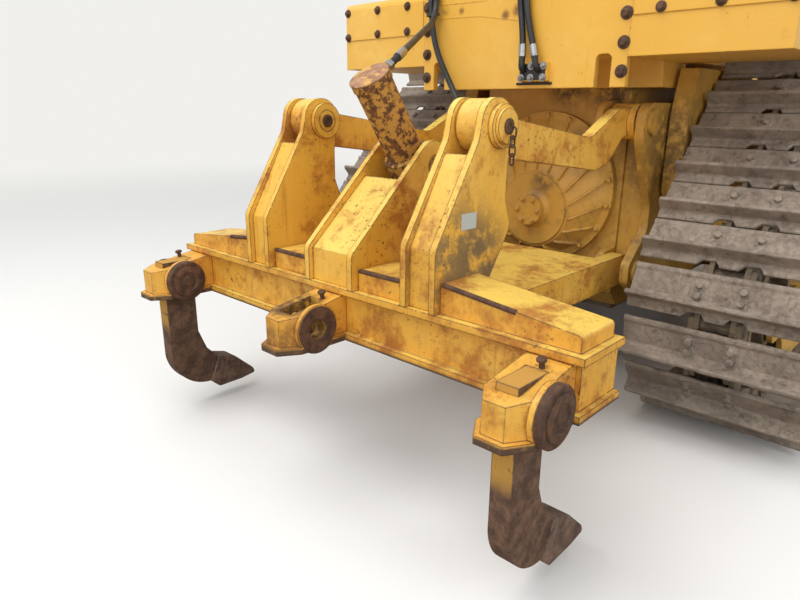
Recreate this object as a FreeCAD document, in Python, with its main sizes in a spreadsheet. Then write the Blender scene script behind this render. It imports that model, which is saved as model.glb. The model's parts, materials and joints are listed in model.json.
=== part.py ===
"""Crawler bulldozer with raised drive sprockets, a multi-shank ripper at the back and a blade in front.

Millimetres. While it is being built, x runs forward from the sprocket axis, y to the left and z up
from the ground; every piece is then moved back by the middle of the machine's length.
"""
import FreeCAD, Part
import math
import os
import Sketcher

V = FreeCAD.Vector

# name, millimetres (or degrees, or a count), what it is
SIZES = [
    # undercarriage
    ("gauge", 2180, "track centre to track centre"),
    ("shoe_wide", 760, "width of a track shoe"),
    ("shoe_count", 41, "shoes on one track"),
    ("shoe_start", 0.30, "where the first pin lies, in pitches"),
    ("link_half", 66, "pin to the rail tread, and pin to the shoe's inner face"),
    ("shoe_thick", 16, "shoe plate"),
    ("grouser_tall", 71, "bar that stands on the shoe"),
    ("grouser_foot", 34, "width of that bar at the plate"),
    ("grouser_tip", 18, "width of that bar at its tip"),
    ("grouser_edge", 40, "from the shoe's first pin to the bar"),
    ("rail_wide", 45, "width of one link rail"),
    ("rail_gap", 124, "clear width between the two rails"),
    ("sprocket_up", 1250, "height of the sprocket axis"),
    ("sprocket_pin_radius", 430, "pin circle of the track on the sprocket"),
    ("sprocket_teeth", 25, "teeth"),
    ("sprocket_wide", 70, "width of the toothed ring"),
    ("sprocket_bore", 300, "radius of the ring's seat on the hub"),
    ("tooth_root", 396, "radius of the gaps between the teeth"),
    ("tooth_tip", 446, "radius of the teeth"),
    ("tooth_foot", 30, "half width of a tooth at its foot"),
    ("idler_pin_radius", 407, "pin circle of the track on an idler"),
    ("front_idler_ahead", 2230, "front idler, forward of the sprocket axis"),
    ("rear_idler_behind", 670, "rear idler, behind the sprocket axis"),
    ("idler_gap", 3, "rail tread to idler at the middle of a link"),
    ("idler_rim", 45, "depth of an idler's rim"),
    ("idler_hub", 120, "radius of an idler's hub"),
    ("idler_web", 60, "thickness of an idler's web"),
    ("axle_radius", 50, "axles of idlers and rollers"),
    ("roller_radius", 115, "tread of a track roller"),
    ("roller_waist", 85, "radius of a roller between its treads"),
    ("roller_count", 7, "rollers under one frame"),
    ("roller_first", 1890, "front roller, forward of the sprocket axis"),
    ("roller_step", 370, "roller to roller"),
    ("frame_half", 125, "roller frame: half its inside width"),
    ("frame_plate", 26, "roller frame: side plate"),
    ("frame_low", 300, "roller frame: underside of the side plates"),
    ("frame_deck", 470, "roller frame: underside of the box beam"),
    ("frame_high", 660, "roller frame: top"),
    ("frame_fork", 90, "roller frame: half depth of the idler forks"),
    ("drive_tube", 250, "final drive: radius of the inboard housing"),
    ("drive_flange", 338, "final drive: radius of the flange behind the sprocket"),
    ("drive_flange_thick", 26, "final drive: that flange"),
    ("drive_cap", 170, "final drive: radius of the outboard cap"),
    ("drive_reach", 1300, "final drive: outermost point from the centre line"),
    ("drive_guard_inner", 600, "plate guard round the final drive: inner face from the centre line"),
    ("drive_guard_outer", 690, "its outer face"),
    ("drive_guard_rear", 620, "its rear edge, behind the sprocket axis"),
    ("drive_guard_front", 300, "its front edge"),
    ("drive_guard_low", 880, "its underside"),
    ("drive_guard_top", 1690, "its top"),
    ("fit", 0.3, "clearance of a round piece in its seat"),
    # case and frame
    ("case_half", 430, "half width of the rear case"),
    ("case_rear", 705, "rear face of the case, behind the sprocket axis"),
    ("case_front", 900, "front face of the case"),
    ("case_low", 450, "underside of the case"),
    ("case_chamfer", 95, "raised rear corner of the underside"),
    ("case_rear_top", 1600, "top of the case below the fuel tank"),
    ("case_top", 1720, "top of the case below the cab floor"),
    ("case_step", 400, "step in the case's top, behind the sprocket axis"),
    ("guard_thick", 26, "belly guard plate"),
    ("rail_inner", 280, "frame rails: inner face from the centre line"),
    ("rail_outer", 400, "frame rails: outer face"),
    ("rail_low", 620, "frame rails: underside"),
    ("rail_high", 900, "frame rails: top"),
    ("rail_front", 2300, "frame rails: front end"),
    ("cross_deep", 90, "frame rails: cross members, fore and aft"),
    ("pivot_ahead", 650, "pivot shaft of the roller frames, forward of the sprocket axis"),
    ("pivot_up", 560, "its height"),
    ("pivot_radius", 85, "its radius"),
    ("bar_ahead", 1850, "equalizer bar, forward of the sprocket axis"),
    ("bar_deep", 130, "its depth fore and aft"),
    ("bar_low", 500, "its underside"),
    ("bar_high", 600, "its top at the ends"),
    ("cover_up", 968, "round rear cover: centre of its disc and cap"),
    ("cover_flange_up", 1080, "centre of its flange"),
    ("cover_radius", 405, "its flange"),
    ("cover_thick", 40, "its flange, fore and aft"),
    ("cover_disc", 195, "its inner disc"),
    ("cover_dome", 105, "how far the disc stands behind the flange"),
    ("cover_cap", 82, "its cap"),
    ("cover_cap_out", 55, "how far the cap stands behind the disc"),
    # engine, hood and nose
    ("engine_rear", 980, "engine block: rear end"),
    ("engine_front", 2130, "engine block: front end"),
    ("engine_half", 320, "engine block: half width"),
    ("engine_top", 1880, "engine block: top"),
    ("nose_rear", 2300, "radiator guard: rear face"),
    ("nose_deep", 260, "radiator guard: depth"),
    ("nose_half", 560, "radiator guard: half width"),
    ("nose_low", 560, "radiator guard: underside"),
    ("nose_top", 2290, "radiator guard: top"),
    ("nose_wall", 60, "radiator guard: wall"),
    ("nose_chamfer", 110, "radiator guard: cut upper corners"),
    ("core_thick", 90, "radiator core"),
    ("grille_thick", 40, "grille door"),
    ("grille_rim", 70, "grille door: rim"),
    ("grille_slats", 14, "grille door: slats"),
    ("grille_slat_tall", 26, "grille door: height of a slat"),
    ("hood_half", 430, "hood: half width"),
    ("hood_rear", 905, "hood: rear end"),
    ("hood_rear_top", 2380, "hood: top at the rear"),
    ("hood_drop", 120, "hood: fall of its top to the front"),
    ("hood_skirt", 130, "hood: depth of its side"),
    ("hood_chamfer", 80, "hood: cut edge"),
    ("panel", 30, "sheet metal walls and doors, with their inner ribs"),
    ("side_door_low", 1640, "engine side door: lower edge"),
    ("side_door_gap", 6, "clearance round doors"),
    ("side_door_front", 2080, "engine side door: front edge"),
    ("hinge_radius", 14, "hinge tubes of doors"),
    ("stack_ahead", 1500, "exhaust stack, forward of the sprocket axis"),
    ("stack_side", 190, "exhaust stack, to the right of the centre line"),
    ("stack_radius", 62, "exhaust stack"),
    ("muffler_radius", 125, "muffler round the stack"),
    ("muffler_tall", 560, "muffler"),
    ("stack_top", 3230, "exhaust stack: top"),
    ("intake_ahead", 1800, "air intake, forward of the sprocket axis"),
    ("intake_side", 190, "air intake, to the left of the centre line"),
    ("intake_radius", 70, "air intake tube"),
    ("intake_bowl", 150, "air intake bowl"),
    ("intake_top", 2900, "air intake: top"),
    # cab
    ("floor_top", 1760, "cab floor"),
    ("floor_thick", 40, "cab floor plate"),
    ("cab_rear", 400, "cab: rear wall, behind the sprocket axis"),
    ("cab_front", 880, "cab: front wall"),
    ("cab_half", 640, "cab: half width"),
    ("cab_roof", 3300, "cab: top of the roof"),
    ("cab_wall", 50, "cab: posts and walls"),
    ("sill_up", 2250, "cab: lower edge of the windows"),
    ("head_up", 3150, "cab: upper edge of the windows"),
    ("dash_up", 2380, "cab: lower edge of the front window"),
    ("door_rear", 90, "cab door: rear edge, forward of the sprocket axis"),
    ("door_front", 800, "cab door: front edge"),
    ("door_low", 2010, "cab door: lower edge"),
    ("door_high", 3180, "cab door: upper edge"),
    ("door_thick", 36, "cab door"),
    ("door_rim", 75, "cab door: frame round the glass"),
    ("glass_thick", 8, "window glass"),
    ("rops_post_deep", 150, "roll bar: posts, fore and aft"),
    ("rops_post_wide", 110, "roll bar: posts, across"),
    ("rops_rear", 395, "roll bar: rear face of the posts, behind the sprocket axis"),
    ("rops_under", 3330, "roll bar: underside of the canopy"),
    ("rops_thick", 70, "roll bar: canopy"),
    ("rops_front", 820, "roll bar: front edge of the canopy"),
    ("seat_ahead", 150, "operator's seat: middle"),
    # tank, guard and fenders
    ("tank_half", 577, "fuel tank and its guard: half width"),
    ("tank_top", 2440, "fuel tank: top"),
    ("tank_low", 1765, "fuel tank: underside behind the case, above the raised links"),
    ("tank_front", 440, "fuel tank: front face, behind the sprocket axis"),
    ("tank_rear", 1085, "fuel tank: rear face, behind the sprocket axis"),
    ("guard_rear", 1121, "tank guard: rear face, behind the sprocket axis"),
    ("guard_low", 1590, "tank guard: underside"),
    ("guard_notch_wide", 75, "tank guard: notch"),
    ("guard_notch_tall", 140, "tank guard: notch"),
    ("port_thick", 30, "hose block on the guard: thickness"),
    ("port_left", 57, "hose block: left end, to the right of the centre line"),
    ("port_right", 205, "hose block: right end"),
    ("port_low", 1622, "hose block: underside"),
    ("port_high", 1704, "hose block: top"),
    ("hose_radius", 15, "hoses"),
    ("hose_top", 2075, "height where the hoses leave the guard"),
    ("hose_out", 30, "hoses: middle, behind the guard"),
    ("hose_elbow", 1672, "height of the elbows at the block"),
    ("elbow_bend", 28, "bend of the steel elbows at the guard"),
    ("block_bend", 22, "bend of the steel elbows at the block"),
    ("fender_half", 1204, "fenders: outer face from the centre line"),
    ("fender_low", 1714, "fenders: underside at the rear"),
    ("fender_top", 2080, "fenders: top at the rear"),
    ("fender_step", 480, "fenders: step in the underside, behind the sprocket axis"),
    ("fender_arch", 1915, "fenders: underside above the sprocket"),
    ("fender_ahead", 860, "fenders: front end"),
    ("fender_front_top", 1990, "fenders: top beside the cab"),
    # ripper
    ("link_span", 1200, "pivot to pivot of the ripper's linkage, fore and aft"),
    ("lower_pivot_behind", 785, "lower front pivot, behind the sprocket axis"),
    ("lower_pivot_up", 703, "its height"),
    ("upper_pivot_behind", 800, "upper front pivot, behind the sprocket axis"),
    ("upper_pivot_up", 1440, "its height"),
    ("upper_link_side", 470, "upper links, from the centre line"),
    ("pin_radius", 45, "ripper linkage pins"),
    ("mount_inner", 545, "ripper mount cheeks: inner face from the centre line"),
    ("mount_plate", 45, "ripper mount cheeks"),
    ("mount_block", 305, "ripper mount: blocks on the case, fore and aft"),
    ("mount_head", 88, "ripper mount: half height of its rounded heads"),
    ("top_lug_inner", 340, "upper inner lugs: inner face from the centre line"),
    ("lug_thick", 36, "inner lugs"),
    ("deck_half", 520, "lower frame: half width"),
    ("deck_eye", 78, "lower frame: radius of its eyes"),
    ("deck_setback", 175, "lower frame: front pivot to the deck's front edge"),
    ("deck_low", 625, "lower frame: underside"),
    ("deck_top", 781, "lower frame: top"),
    ("deck_wall", 30, "lower frame: plates"),
    ("ear_wide", 80, "lower frame: ears"),
    ("beam_half", 1105, "ripper beam: half width"),
    ("beam_rear", 2335, "ripper beam: rear edge, behind the sprocket axis"),
    ("beam_front", 2074, "ripper beam: front face, behind the sprocket axis"),
    ("beam_low", 620, "ripper beam: underside"),
    ("beam_high", 827, "ripper beam: top of the lower box"),
    ("beam_lip", 26, "ripper beam: flange plates"),
    ("beam_reach", 28, "ripper beam: how far the flange plates stand proud"),
    ("cap_inner_up", 934, "tapered upper box: top beside the outer tower"),
    ("cap_outer_up", 880, "tapered upper box: top at its outer end"),
    ("cap_outer_side", 1077, "tapered upper box: outer end"),
    ("tower_inner", 390, "outer towers: inner face from the centre line"),
    ("tower_outer", 550, "outer towers: outer face"),
    ("tower_plate", 28, "tower plates"),
    ("centre_half", 140, "centre tower: half width"),
    ("pocket_side", 990, "outer shank pockets, from the centre line"),
    ("pocket_wide", 156, "shank pockets: width"),
    ("pocket_reach", 300, "shank pockets: how far they stand behind the web"),
    ("pocket_high", 798, "shank pockets: top at the beam"),
    ("pocket_tail_up", 750, "shank pockets: top at the tail"),
    ("pocket_lip", 20, "shank pockets: how far the bottom flange stands out"),
    ("shank_deep", 150, "shanks, fore and aft"),
    ("shank_thick", 75, "shanks, across"),
    ("shank_behind", 2470, "shanks: middle, behind the sprocket axis"),
    ("shank_pin_radius", 38, "pin through pocket and shank"),
    ("shank_pin_head", 95, "round head of that pin"),
    ("shank_pin_up", 700, "its height"),
    ("tip_behind", 2085, "tooth tips, behind the sprocket axis"),
    ("tip_up", 78, "tooth tips: lowest point"),
    ("rod_eye_behind", 1468, "ripper cylinder: rod eye, behind the sprocket axis"),
    ("rod_eye_up", 703, "its height"),
    ("trunnion_behind", 1861, "ripper cylinder: trunnion, behind the sprocket axis"),
    ("trunnion_up", 1272, "its height"),
    ("barrel_radius", 78, "ripper cylinder: barrel"),
    ("barrel_above", 417, "ripper cylinder: trunnion to head end"),
    ("barrel_below", 200, "ripper cylinder: trunnion to gland end"),
    ("rod_radius", 42, "ripper cylinder: rod"),
    ("eye_radius", 75, "ripper cylinder: rod eye"),
    ("eye_half", 55, "ripper cylinder: half width of the rod eye"),
    ("port_along", 390, "ripper cylinder: trunnion to the head port"),
    ("rod_port_along", 97, "ripper cylinder: trunnion down to the rod's port"),
    ("port_radius", 20, "ripper cylinder: ports"),
    ("port_out", 22, "ripper cylinder: how far the ports stand out"),
    ("drift_side", 6, "side clearance of rod eyes in their clevises"),
    ("run_side", 5, "side clearance of the linkage's ears"),
    ("clevis_wide", 38, "beam clevises: plates"),
    ("boss_out", 20, "bosses on the towers"),
    ("trunnion_radius", 40, "ripper cylinder: trunnion pins"),
    ("ring_radius", 98, "ripper cylinder: trunnion ring"),
    ("rod_inside", 288, "ripper cylinder: rod inside the barrel, from the gland end"),
    ("ring_thick", 20, "rings and washers on the shank pockets"),
    ("tip_long", 265, "tooth tips: length"),
    ("shank_bend", 300, "shanks: height where the rounded foot starts"),
    ("shank_curve", 200, "shanks: radius of the foot"),
    ("link_half_wide", 29, "upper links: half width of the arm"),
    ("link_rear_half", 46, "upper links: half width of the rear eye"),
    ("link_front_half", 66, "upper links: half width of the front eye"),
    ("link_rear_eye", 92, "upper links: rear eye"),
    ("link_front_eye", 84, "upper links: front eye"),
    ("open_fit", 1, "upper links: clearance at the rear pin"),
    ("run_fit", 0.05, "running clearance of rods and pins"),
    # blade
    ("trunnion_ahead", 600, "push arm trunnions, forward of the sprocket axis"),
    ("arm_trunnion_up", 480, "their height"),
    ("arm_inner", 1510, "push arms: inner face from the centre line"),
    ("arm_wide", 140, "push arms: width"),
    ("arm_deep", 200, "push arms: depth"),
    ("blade_back", 3170, "blade: rear of the lower box"),
    ("blade_edge", 3640, "blade: cutting edge"),
    ("blade_top", 1530, "blade: top"),
    ("blade_low", 8, "blade: lowest point"),
    ("blade_half", 2010, "blade: half width"),
    ("blade_straight", 1344, "blade: half width of the straight middle"),
    ("wing_angle", 27, "blade: wings swept forward, degrees"),
    ("board_radius", 1150, "blade: curve of the mouldboard"),
    ("board_thick", 28, "blade: mouldboard"),
    ("board_top_ahead", 3500, "blade: upper edge"),
    ("lift_up", 1950, "blade lift cylinders: yoke height"),
    ("lift_ahead", 2390, "blade lift cylinders: yoke, forward of the sprocket axis"),
    ("lift_side", 700, "blade lift cylinders: from the centre line"),
    ("lift_eye_ahead", 3090, "blade lift cylinders: lower eye"),
    ("lift_eye_up", 760, "its height"),
    ("lift_below", 470, "blade lift cylinders: yoke to gland end"),
    ("lift_above", 840, "blade lift cylinders: yoke to head end"),
    ("lift_rod_inside", 426, "blade lift cylinders: rod inside the barrel, from the gland end"),
    ("lift_barrel_radius", 60, "blade lift cylinders: barrel"),
    ("lift_rod_radius", 32, "blade lift cylinders: rod"),
    ("lift_eye_radius", 60, "blade lift cylinders: rod eye"),
    ("lift_eye_half", 36, "blade lift cylinders: half width of the rod eye"),
    ("yoke_pin", 30, "blade lift cylinders: pin of the yoke"),
    ("boss_long", 34, "blade lift cylinders: trunnion boss"),
    ("lug_plate", 26, "lugs on arms and blade"),
    ("arm_bend", 2300, "push arms: bend, forward of the sprocket axis"),
    ("arm_eye", 140, "push arms: eye round the trunnion"),
    ("board_low", 190, "blade: lower edge of the mouldboard"),
    ("brace_radius", 52, "blade braces"),
    ("brace_half", 38, "blade braces: half width of the eyes"),
    ("brace_foot", 2150, "blade braces: lower pin, forward of the sprocket axis"),
    ("brace_foot_up", 660, "its height"),
    ("brace_head", 3230, "blade braces: upper pin, forward of the sprocket axis"),
    ("brace_head_up", 1180, "its height"),
]

doc = FreeCAD.newDocument("bulldozer")
sheet = doc.addObject("Spreadsheet::Sheet", "sizes")
for row, (name, value, what) in enumerate(SIZES, start=1):
    sheet.set("A%d" % row, name)
    sheet.set("B%d" % row, str(value))
    sheet.setAlias("B%d" % row, name)
    sheet.set("C%d" % row, what)
doc.recompute()


class Size:
    """A number that also knows the sheet formula it comes from, so that a feature can be bound to it."""

    def __init__(self, value, formula):
        self.value = value
        self.formula = formula

    def __add__(self, other):
        return join(self, "+", other, self.value + number(other))

    def __radd__(self, other):
        return join(other, "+", self, number(other) + self.value)

    def __sub__(self, other):
        return join(self, "-", other, self.value - number(other))

    def __rsub__(self, other):
        return join(other, "-", self, number(other) - self.value)

    def __mul__(self, other):
        return join(self, "*", other, self.value * number(other))

    def __rmul__(self, other):
        return join(other, "*", self, number(other) * self.value)

    def __truediv__(self, other):
        return join(self, "/", other, self.value / number(other))

    def __rtruediv__(self, other):
        return join(other, "/", self, number(other) / self.value)

    def __neg__(self):
        return Size(-self.value, "(0 - %s)" % self.formula)


def number(item):
    return item.value if isinstance(item, Size) else float(item)


def formula(item):
    if isinstance(item, Size):
        return item.formula
    return repr(float(item)) if item >= 0 else "(0 - %r)" % -float(item)


def join(left, sign, right, value):
    return Size(value, "(%s %s %s)" % (formula(left), sign, formula(right)))


def cosine(degrees):
    return Size(math.cos(math.radians(number(degrees))), "cos(%s)" % formula(degrees))


def sine(degrees):
    return Size(math.sin(math.radians(number(degrees))), "sin(%s)" % formula(degrees))


def hypotenuse(a, b):
    return Size(math.hypot(number(a), number(b)), "hypot(%s; %s)" % (formula(a), formula(b)))


def lean(dx, dz):
    """The angle from straight up towards forward of a line that runs dx forward and dz up."""
    return Size(math.degrees(math.atan2(number(dx), number(dz))),
                "atan2(%s; %s)" % (formula(dx), formula(dz)))


class Names:
    """Each size of the table as an attribute."""


s = Names()
for name, value, what in SIZES:
    setattr(s, name, Size(value, "sizes." + name))


def bind(obj, prop, size):
    """Give a property its number and, for later changes, its formula."""
    obj.setExpression(prop, formula(size))


def place(obj, x=0, y=0, z=0):
    for axis, size in zip("xyz", (x, y, z)):
        if isinstance(size, Size) or size:
            bind(obj, "Placement.Base." + axis, size)


# Each plane: its turn, the outward direction, and where the plane's offset goes
PLANES = {
    "xz": (FreeCAD.Rotation(V(1, 0, 0), 90), V(0, 1, 0), "y"),
    "yz": (FreeCAD.Rotation(V(1, 1, 1), 120), V(1, 0, 0), "x"),
    "xy": (FreeCAD.Rotation(), V(0, 0, 1), "z"),
}
# Each turning axis: the turn of a sketch whose first axis is the radius and whose second is the axis
LATHES = {
    "x": (FreeCAD.Rotation(V(0, 0, 1), V(1, 0, 0), V(0, 1, 0), "XYZ"), V(1, 0, 0)),
    "y": (FreeCAD.Rotation(V(0, 0, 1), V(0, 1, 0), V(-1, 0, 0), "XYZ"), V(0, 1, 0)),
    "z": (FreeCAD.Rotation(V(1, 0, 0), V(0, 0, 1), V(0, -1, 0), "XYZ"), V(0, 0, 1)),
}


def fix_point(rules, geometry, end, a, b):
    """Tie one point of a sketch to its two coordinates."""
    rules.append((Sketcher.Constraint("DistanceX", -1, 1, geometry, end, number(a)), a))
    rules.append((Sketcher.Constraint("DistanceY", -1, 1, geometry, end, number(b)), b))


def corner_arc(before, corner, after, radius):
    """Ends and middle of the arc that rounds a corner."""
    to_before = (before - corner).normalize()
    to_after = (after - corner).normalize()
    half = math.acos(max(-1, min(1, to_before.dot(to_after)))) / 2
    reach = radius / math.tan(half)
    middle = corner + (to_before + to_after).normalize() * (radius / math.sin(half))
    start = corner + to_before * reach
    end = corner + to_after * reach
    halfway = middle + (corner - middle).normalize() * radius
    return start, halfway, end


def outline(name, points, bows=None):
    """A closed sketch. A point is (a, b) or (a, b, corner radius); bows gives an edge a radius,
    positive where the edge bulges to the right of its direction."""
    bows = bows or {}
    sketch = doc.addObject("Sketcher::SketchObject", name)
    count = len(points)
    spots = [V(number(p[0]), number(p[1]), 0) for p in points]
    arcs = [corner_arc(spots[i - 1], spots[i], spots[(i + 1) % count], number(p[2]))
            if len(p) > 2 else None for i, p in enumerate(points)]
    rules = []
    ends = []
    for i in range(count):
        start = arcs[i][2] if arcs[i] else spots[i]
        far = (i + 1) % count
        end = arcs[far][0] if arcs[far] else spots[far]
        if i not in bows:
            line = sketch.addGeometry(Part.LineSegment(start, end), False)
            ends.append((line, 1, 2))
            continue
        radius = abs(number(bows[i]))
        turns_left = number(bows[i]) > 0
        along = end - start
        side = V(along.y, -along.x, 0).normalize() * (1 if turns_left else -1)
        sag = radius - math.sqrt(radius ** 2 - (along.Length / 2) ** 2)
        centre = (start + end) / 2 + side * (sag - radius)
        first = math.atan2(start.y - centre.y, start.x - centre.x)
        last = math.atan2(end.y - centre.y, end.x - centre.x)
        angles = (first, last) if turns_left else (last, first)
        bow = sketch.addGeometry(Part.ArcOfCircle(Part.Circle(centre, V(0, 0, 1), radius), *angles), False)
        ends.append((bow, 1, 2) if turns_left else (bow, 2, 1))
        rules.append((Sketcher.Constraint("Radius", bow, radius), bows[i] if turns_left else -bows[i]))
    for i, point in enumerate(points):
        before, here = ends[i - 1], ends[i]
        if arcs[i] is None:
            rules.append((Sketcher.Constraint("Coincident", before[0], before[2], here[0], here[1]), None))
            fix_point(rules, here[0], here[1], point[0], point[1])
            continue
        start, halfway, end = arcs[i]
        turns_left = (halfway - start).cross(end - halfway).z > 0
        round_part = sketch.addGeometry(Part.Arc(start, halfway, end), False)
        first, last = (1, 2) if turns_left else (2, 1)
        spot = sketch.addGeometry(Part.Point(spots[i]), True)
        fix_point(rules, spot, 1, point[0], point[1])
        rules.append((Sketcher.Constraint("PointOnObject", spot, 1, before[0]), None))
        rules.append((Sketcher.Constraint("PointOnObject", spot, 1, here[0]), None))
        rules.append((Sketcher.Constraint("Tangent", before[0], before[2], round_part, first), None))
        rules.append((Sketcher.Constraint("Tangent", round_part, last, here[0], here[1]), None))
        rules.append((Sketcher.Constraint("Radius", round_part, number(point[2])), point[2]))
    sketch.addConstraint([rule for rule, size in rules])
    for index, (rule, size) in enumerate(rules):
        if isinstance(size, Size):
            sketch.setExpression("Constraints[%d]" % index, formula(size))
    return sketch


def prism(name, plane, points, low, high, bows=None, sweep=None):
    """An outline in a plane, drawn out from low to high; sweep slants the way it is drawn out."""
    turn, way, axis = PLANES[plane]
    sketch = outline(name + "_outline", points, bows)
    sketch.Placement = FreeCAD.Placement(V(), turn)
    place(sketch, **{axis: low})
    solid = doc.addObject("Part::Extrusion", name)
    solid.Base = sketch
    solid.DirMode = "Custom"
    solid.Solid = True
    solid.Dir = way
    length = high - low
    if sweep:
        for letter in "xyz":
            size = sweep.get(letter, 1 if letter == axis else 0)
            solid.setExpression("Dir." + letter, formula(size))
        length = length * hypotenuse(1, list(sweep.values())[0])
    bind(solid, "LengthFwd", length)
    return solid


def lathe(name, axis, points, x=0, y=0, z=0, bows=None):
    """A turned piece: points are (radius, place along the axis)."""
    turn, way = LATHES[axis]
    sketch = outline(name + "_outline", points, bows)
    sketch.Placement = FreeCAD.Placement(V(), turn)
    place(sketch, x, y, z)
    solid = doc.addObject("Part::Revolution", name)
    solid.Source = sketch
    solid.Axis = way
    for letter, size in zip("xyz", (x, y, z)):
        bind(solid, "Base." + letter, size)
    solid.Angle = 360
    solid.Solid = True
    return solid


def box(name, x, y, z):
    """A box from its lowest and highest x, y and z."""
    solid = doc.addObject("Part::Box", name)
    for prop, (low, high) in zip(("Length", "Width", "Height"), (x, y, z)):
        bind(solid, prop, high - low)
    place(solid, x[0], y[0], z[0])
    return solid


TURNS = {"x": FreeCAD.Rotation(V(0, 1, 0), 90), "y": FreeCAD.Rotation(V(1, 0, 0), -90),
         "z": FreeCAD.Rotation()}


def cylinder(name, axis, radius, low, high, x=0, y=0, z=0):
    """A cylinder along an axis, from low to high on it."""
    solid = doc.addObject("Part::Cylinder", name)
    solid.Placement = FreeCAD.Placement(V(), TURNS[axis])
    bind(solid, "Radius", radius)
    bind(solid, "Height", high - low)
    spot = {"x": x, "y": y, "z": z}
    spot[axis] = low
    place(solid, **spot)
    return solid


def fuse(name, *pieces):
    solid = doc.addObject("Part::MultiFuse", name)
    solid.Shapes = list(pieces)
    return solid


def cut(name, base, *tools):
    tool = tools[0] if len(tools) == 1 else fuse(name + "_tools", *tools)
    solid = doc.addObject("Part::Cut", name)
    solid.Base = base
    solid.Tool = tool
    return solid


def group(name, *pieces):
    """Pieces that don't touch, kept as separate solids."""
    solid = doc.addObject("Part::Compound", name)
    solid.Links = list(pieces)
    return solid


def mirrored(piece, name=None):
    """The same piece on the other side of the machine."""
    copy = doc.addObject("Part::Mirroring", name or piece.Name + "_right")
    copy.Source = piece
    copy.Normal = V(0, 1, 0)
    return copy


def both_sides(name, piece):
    return group(name, piece, mirrored(piece))


nodes = []
wing_slope = sine(s.wing_angle) / cosine(s.wing_angle)
foremost = s.blade_edge + (s.blade_half - s.blade_straight) * wing_slope
web = s.beam_rear - s.beam_reach
rearmost = web + s.pocket_reach + s.pocket_lip
middle = (foremost - rearmost) / 2


def twin(label, piece):
    """Name the same piece on the other side of the machine, already in place."""
    copy = mirrored(piece, label)
    nodes.append(copy)
    return copy


def node(label, obj, x=0, y=0, z=0, tilt=None):
    """Name a finished piece and set it in the machine's frame; tilt leans it forward about y."""
    obj.Label = label
    if tilt is not None:
        obj.Placement = FreeCAD.Placement(V(), FreeCAD.Rotation(V(0, 1, 0), number(tilt)))
        bind(obj, "Placement.Rotation.Angle", tilt)
    place(obj, x - middle, y, z)
    nodes.append(obj)
    return obj

# Undercarriage
half_gauge = s.gauge / 2


def tangent_angle(first, second):
    """Angle of the upper tangent that runs from one circle (x, z, radius) to the next, and its normal."""
    dx, dz = second[0] - first[0], second[1] - first[1]
    return math.atan2(dz, dx) + math.acos((first[2] - second[2]) / math.hypot(dx, dz))


def track_pins():
    """Pins of one track, at equal steps round the sprocket and the two idlers."""
    wheels = [
        (0.0, number(s.sprocket_up), number(s.sprocket_pin_radius)),
        (number(s.front_idler_ahead), number(idler_up), number(s.idler_pin_radius)),
        (-number(s.rear_idler_behind), number(idler_up), number(s.idler_pin_radius)),
    ]
    legs = []
    for i, wheel in enumerate(wheels):
        arrive = tangent_angle(wheels[i - 1], wheel)
        leave = tangent_angle(wheel, wheels[(i + 1) % 3])
        sweep = (arrive - leave) % (2 * math.pi)
        legs.append(("arc", wheel, arrive, sweep * wheel[2]))
        after = wheels[(i + 1) % 3]
        start = V(wheel[0] + wheel[2] * math.cos(leave), 0, wheel[1] + wheel[2] * math.sin(leave))
        end = V(after[0] + after[2] * math.cos(leave), 0, after[1] + after[2] * math.sin(leave))
        legs.append(("line", start, end, (end - start).Length))
    whole = sum(leg[3] for leg in legs)
    count = int(number(s.shoe_count))
    pins = []
    for i in range(count):
        along = (i + number(s.shoe_start)) * whole / count
        for kind, a, b, length in legs:
            if along <= length:
                break
            along -= length
        if kind == "arc":
            angle = b - along / a[2]
            pins.append(V(a[0] + a[2] * math.cos(angle), 0, a[1] + a[2] * math.sin(angle)))
        else:
            pins.append(a + (b - a) * (along / length))
    return pins, whole / count


idler_up = s.idler_pin_radius + s.link_half + s.shoe_thick + s.grouser_tall
pins, pitch = track_pins()
UP = V(0, 1, 0)


def outward(i):
    """The direction from a link's pins to its shoe."""
    along = (pins[(i + 1) % len(pins)] - pins[i]).normalize()
    return along, V(-along.z, 0, along.x)


def mitre(i, height):
    """Where the lines at a height above two neighbouring links meet, at the pin between them."""
    before, here = outward(i - 1)[1], outward(i)[1]
    both = (before + here).normalize()
    return pins[i] + both * (height / both.dot(here))


def ring(outer, inner, low, high):
    """The band between two closed outlines, from one y to another."""
    face = Part.Face([Part.makePolygon(outer + outer[:1]), Part.makePolygon(inner + inner[:1])])
    face.validate()
    band = face.extrude(V(0, high - low, 0))
    band.translate(V(0, low, 0))
    return band


def track(side):
    """One track: 41 shoes with their grousers in one outline, on two link rails."""
    half = number(s.link_half)
    plate = half + number(s.shoe_thick)
    tip = plate + number(s.grouser_tall)
    foot, narrow = number(s.grouser_foot), number(s.grouser_tip)
    edge = number(s.grouser_edge)
    outer = []
    for i in range(len(pins)):
        along, out = outward(i)
        slope = (foot - narrow) / 2
        outer.append(mitre(i, plate))
        for run, height in ((0, plate), (slope, tip), (foot - slope, tip), (foot, plate)):
            outer.append(pins[i] + along * (edge + run) + out * height)
    seat = [mitre(i, half) for i in range(len(pins))]
    rail = [mitre(i, -half) for i in range(len(pins))]
    middle_y = side * number(half_gauge)
    wide = number(s.shoe_wide) / 2
    gap = number(s.rail_gap) / 2
    rail_wide = number(s.rail_wide)
    shoes = ring(outer, seat, middle_y - wide, middle_y + wide)
    rails = [ring(seat, rail, middle_y + low, middle_y + low + rail_wide) for low in (gap, -gap - rail_wide)]
    loop = doc.addObject("Part::Feature", "track")
    loop.Shape = shoes.fuse(rails).removeSplitter()
    return loop


def origin_of(body, role):
    return next(f for f in body.Origin.OriginFeatures if f.Role == role)


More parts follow.
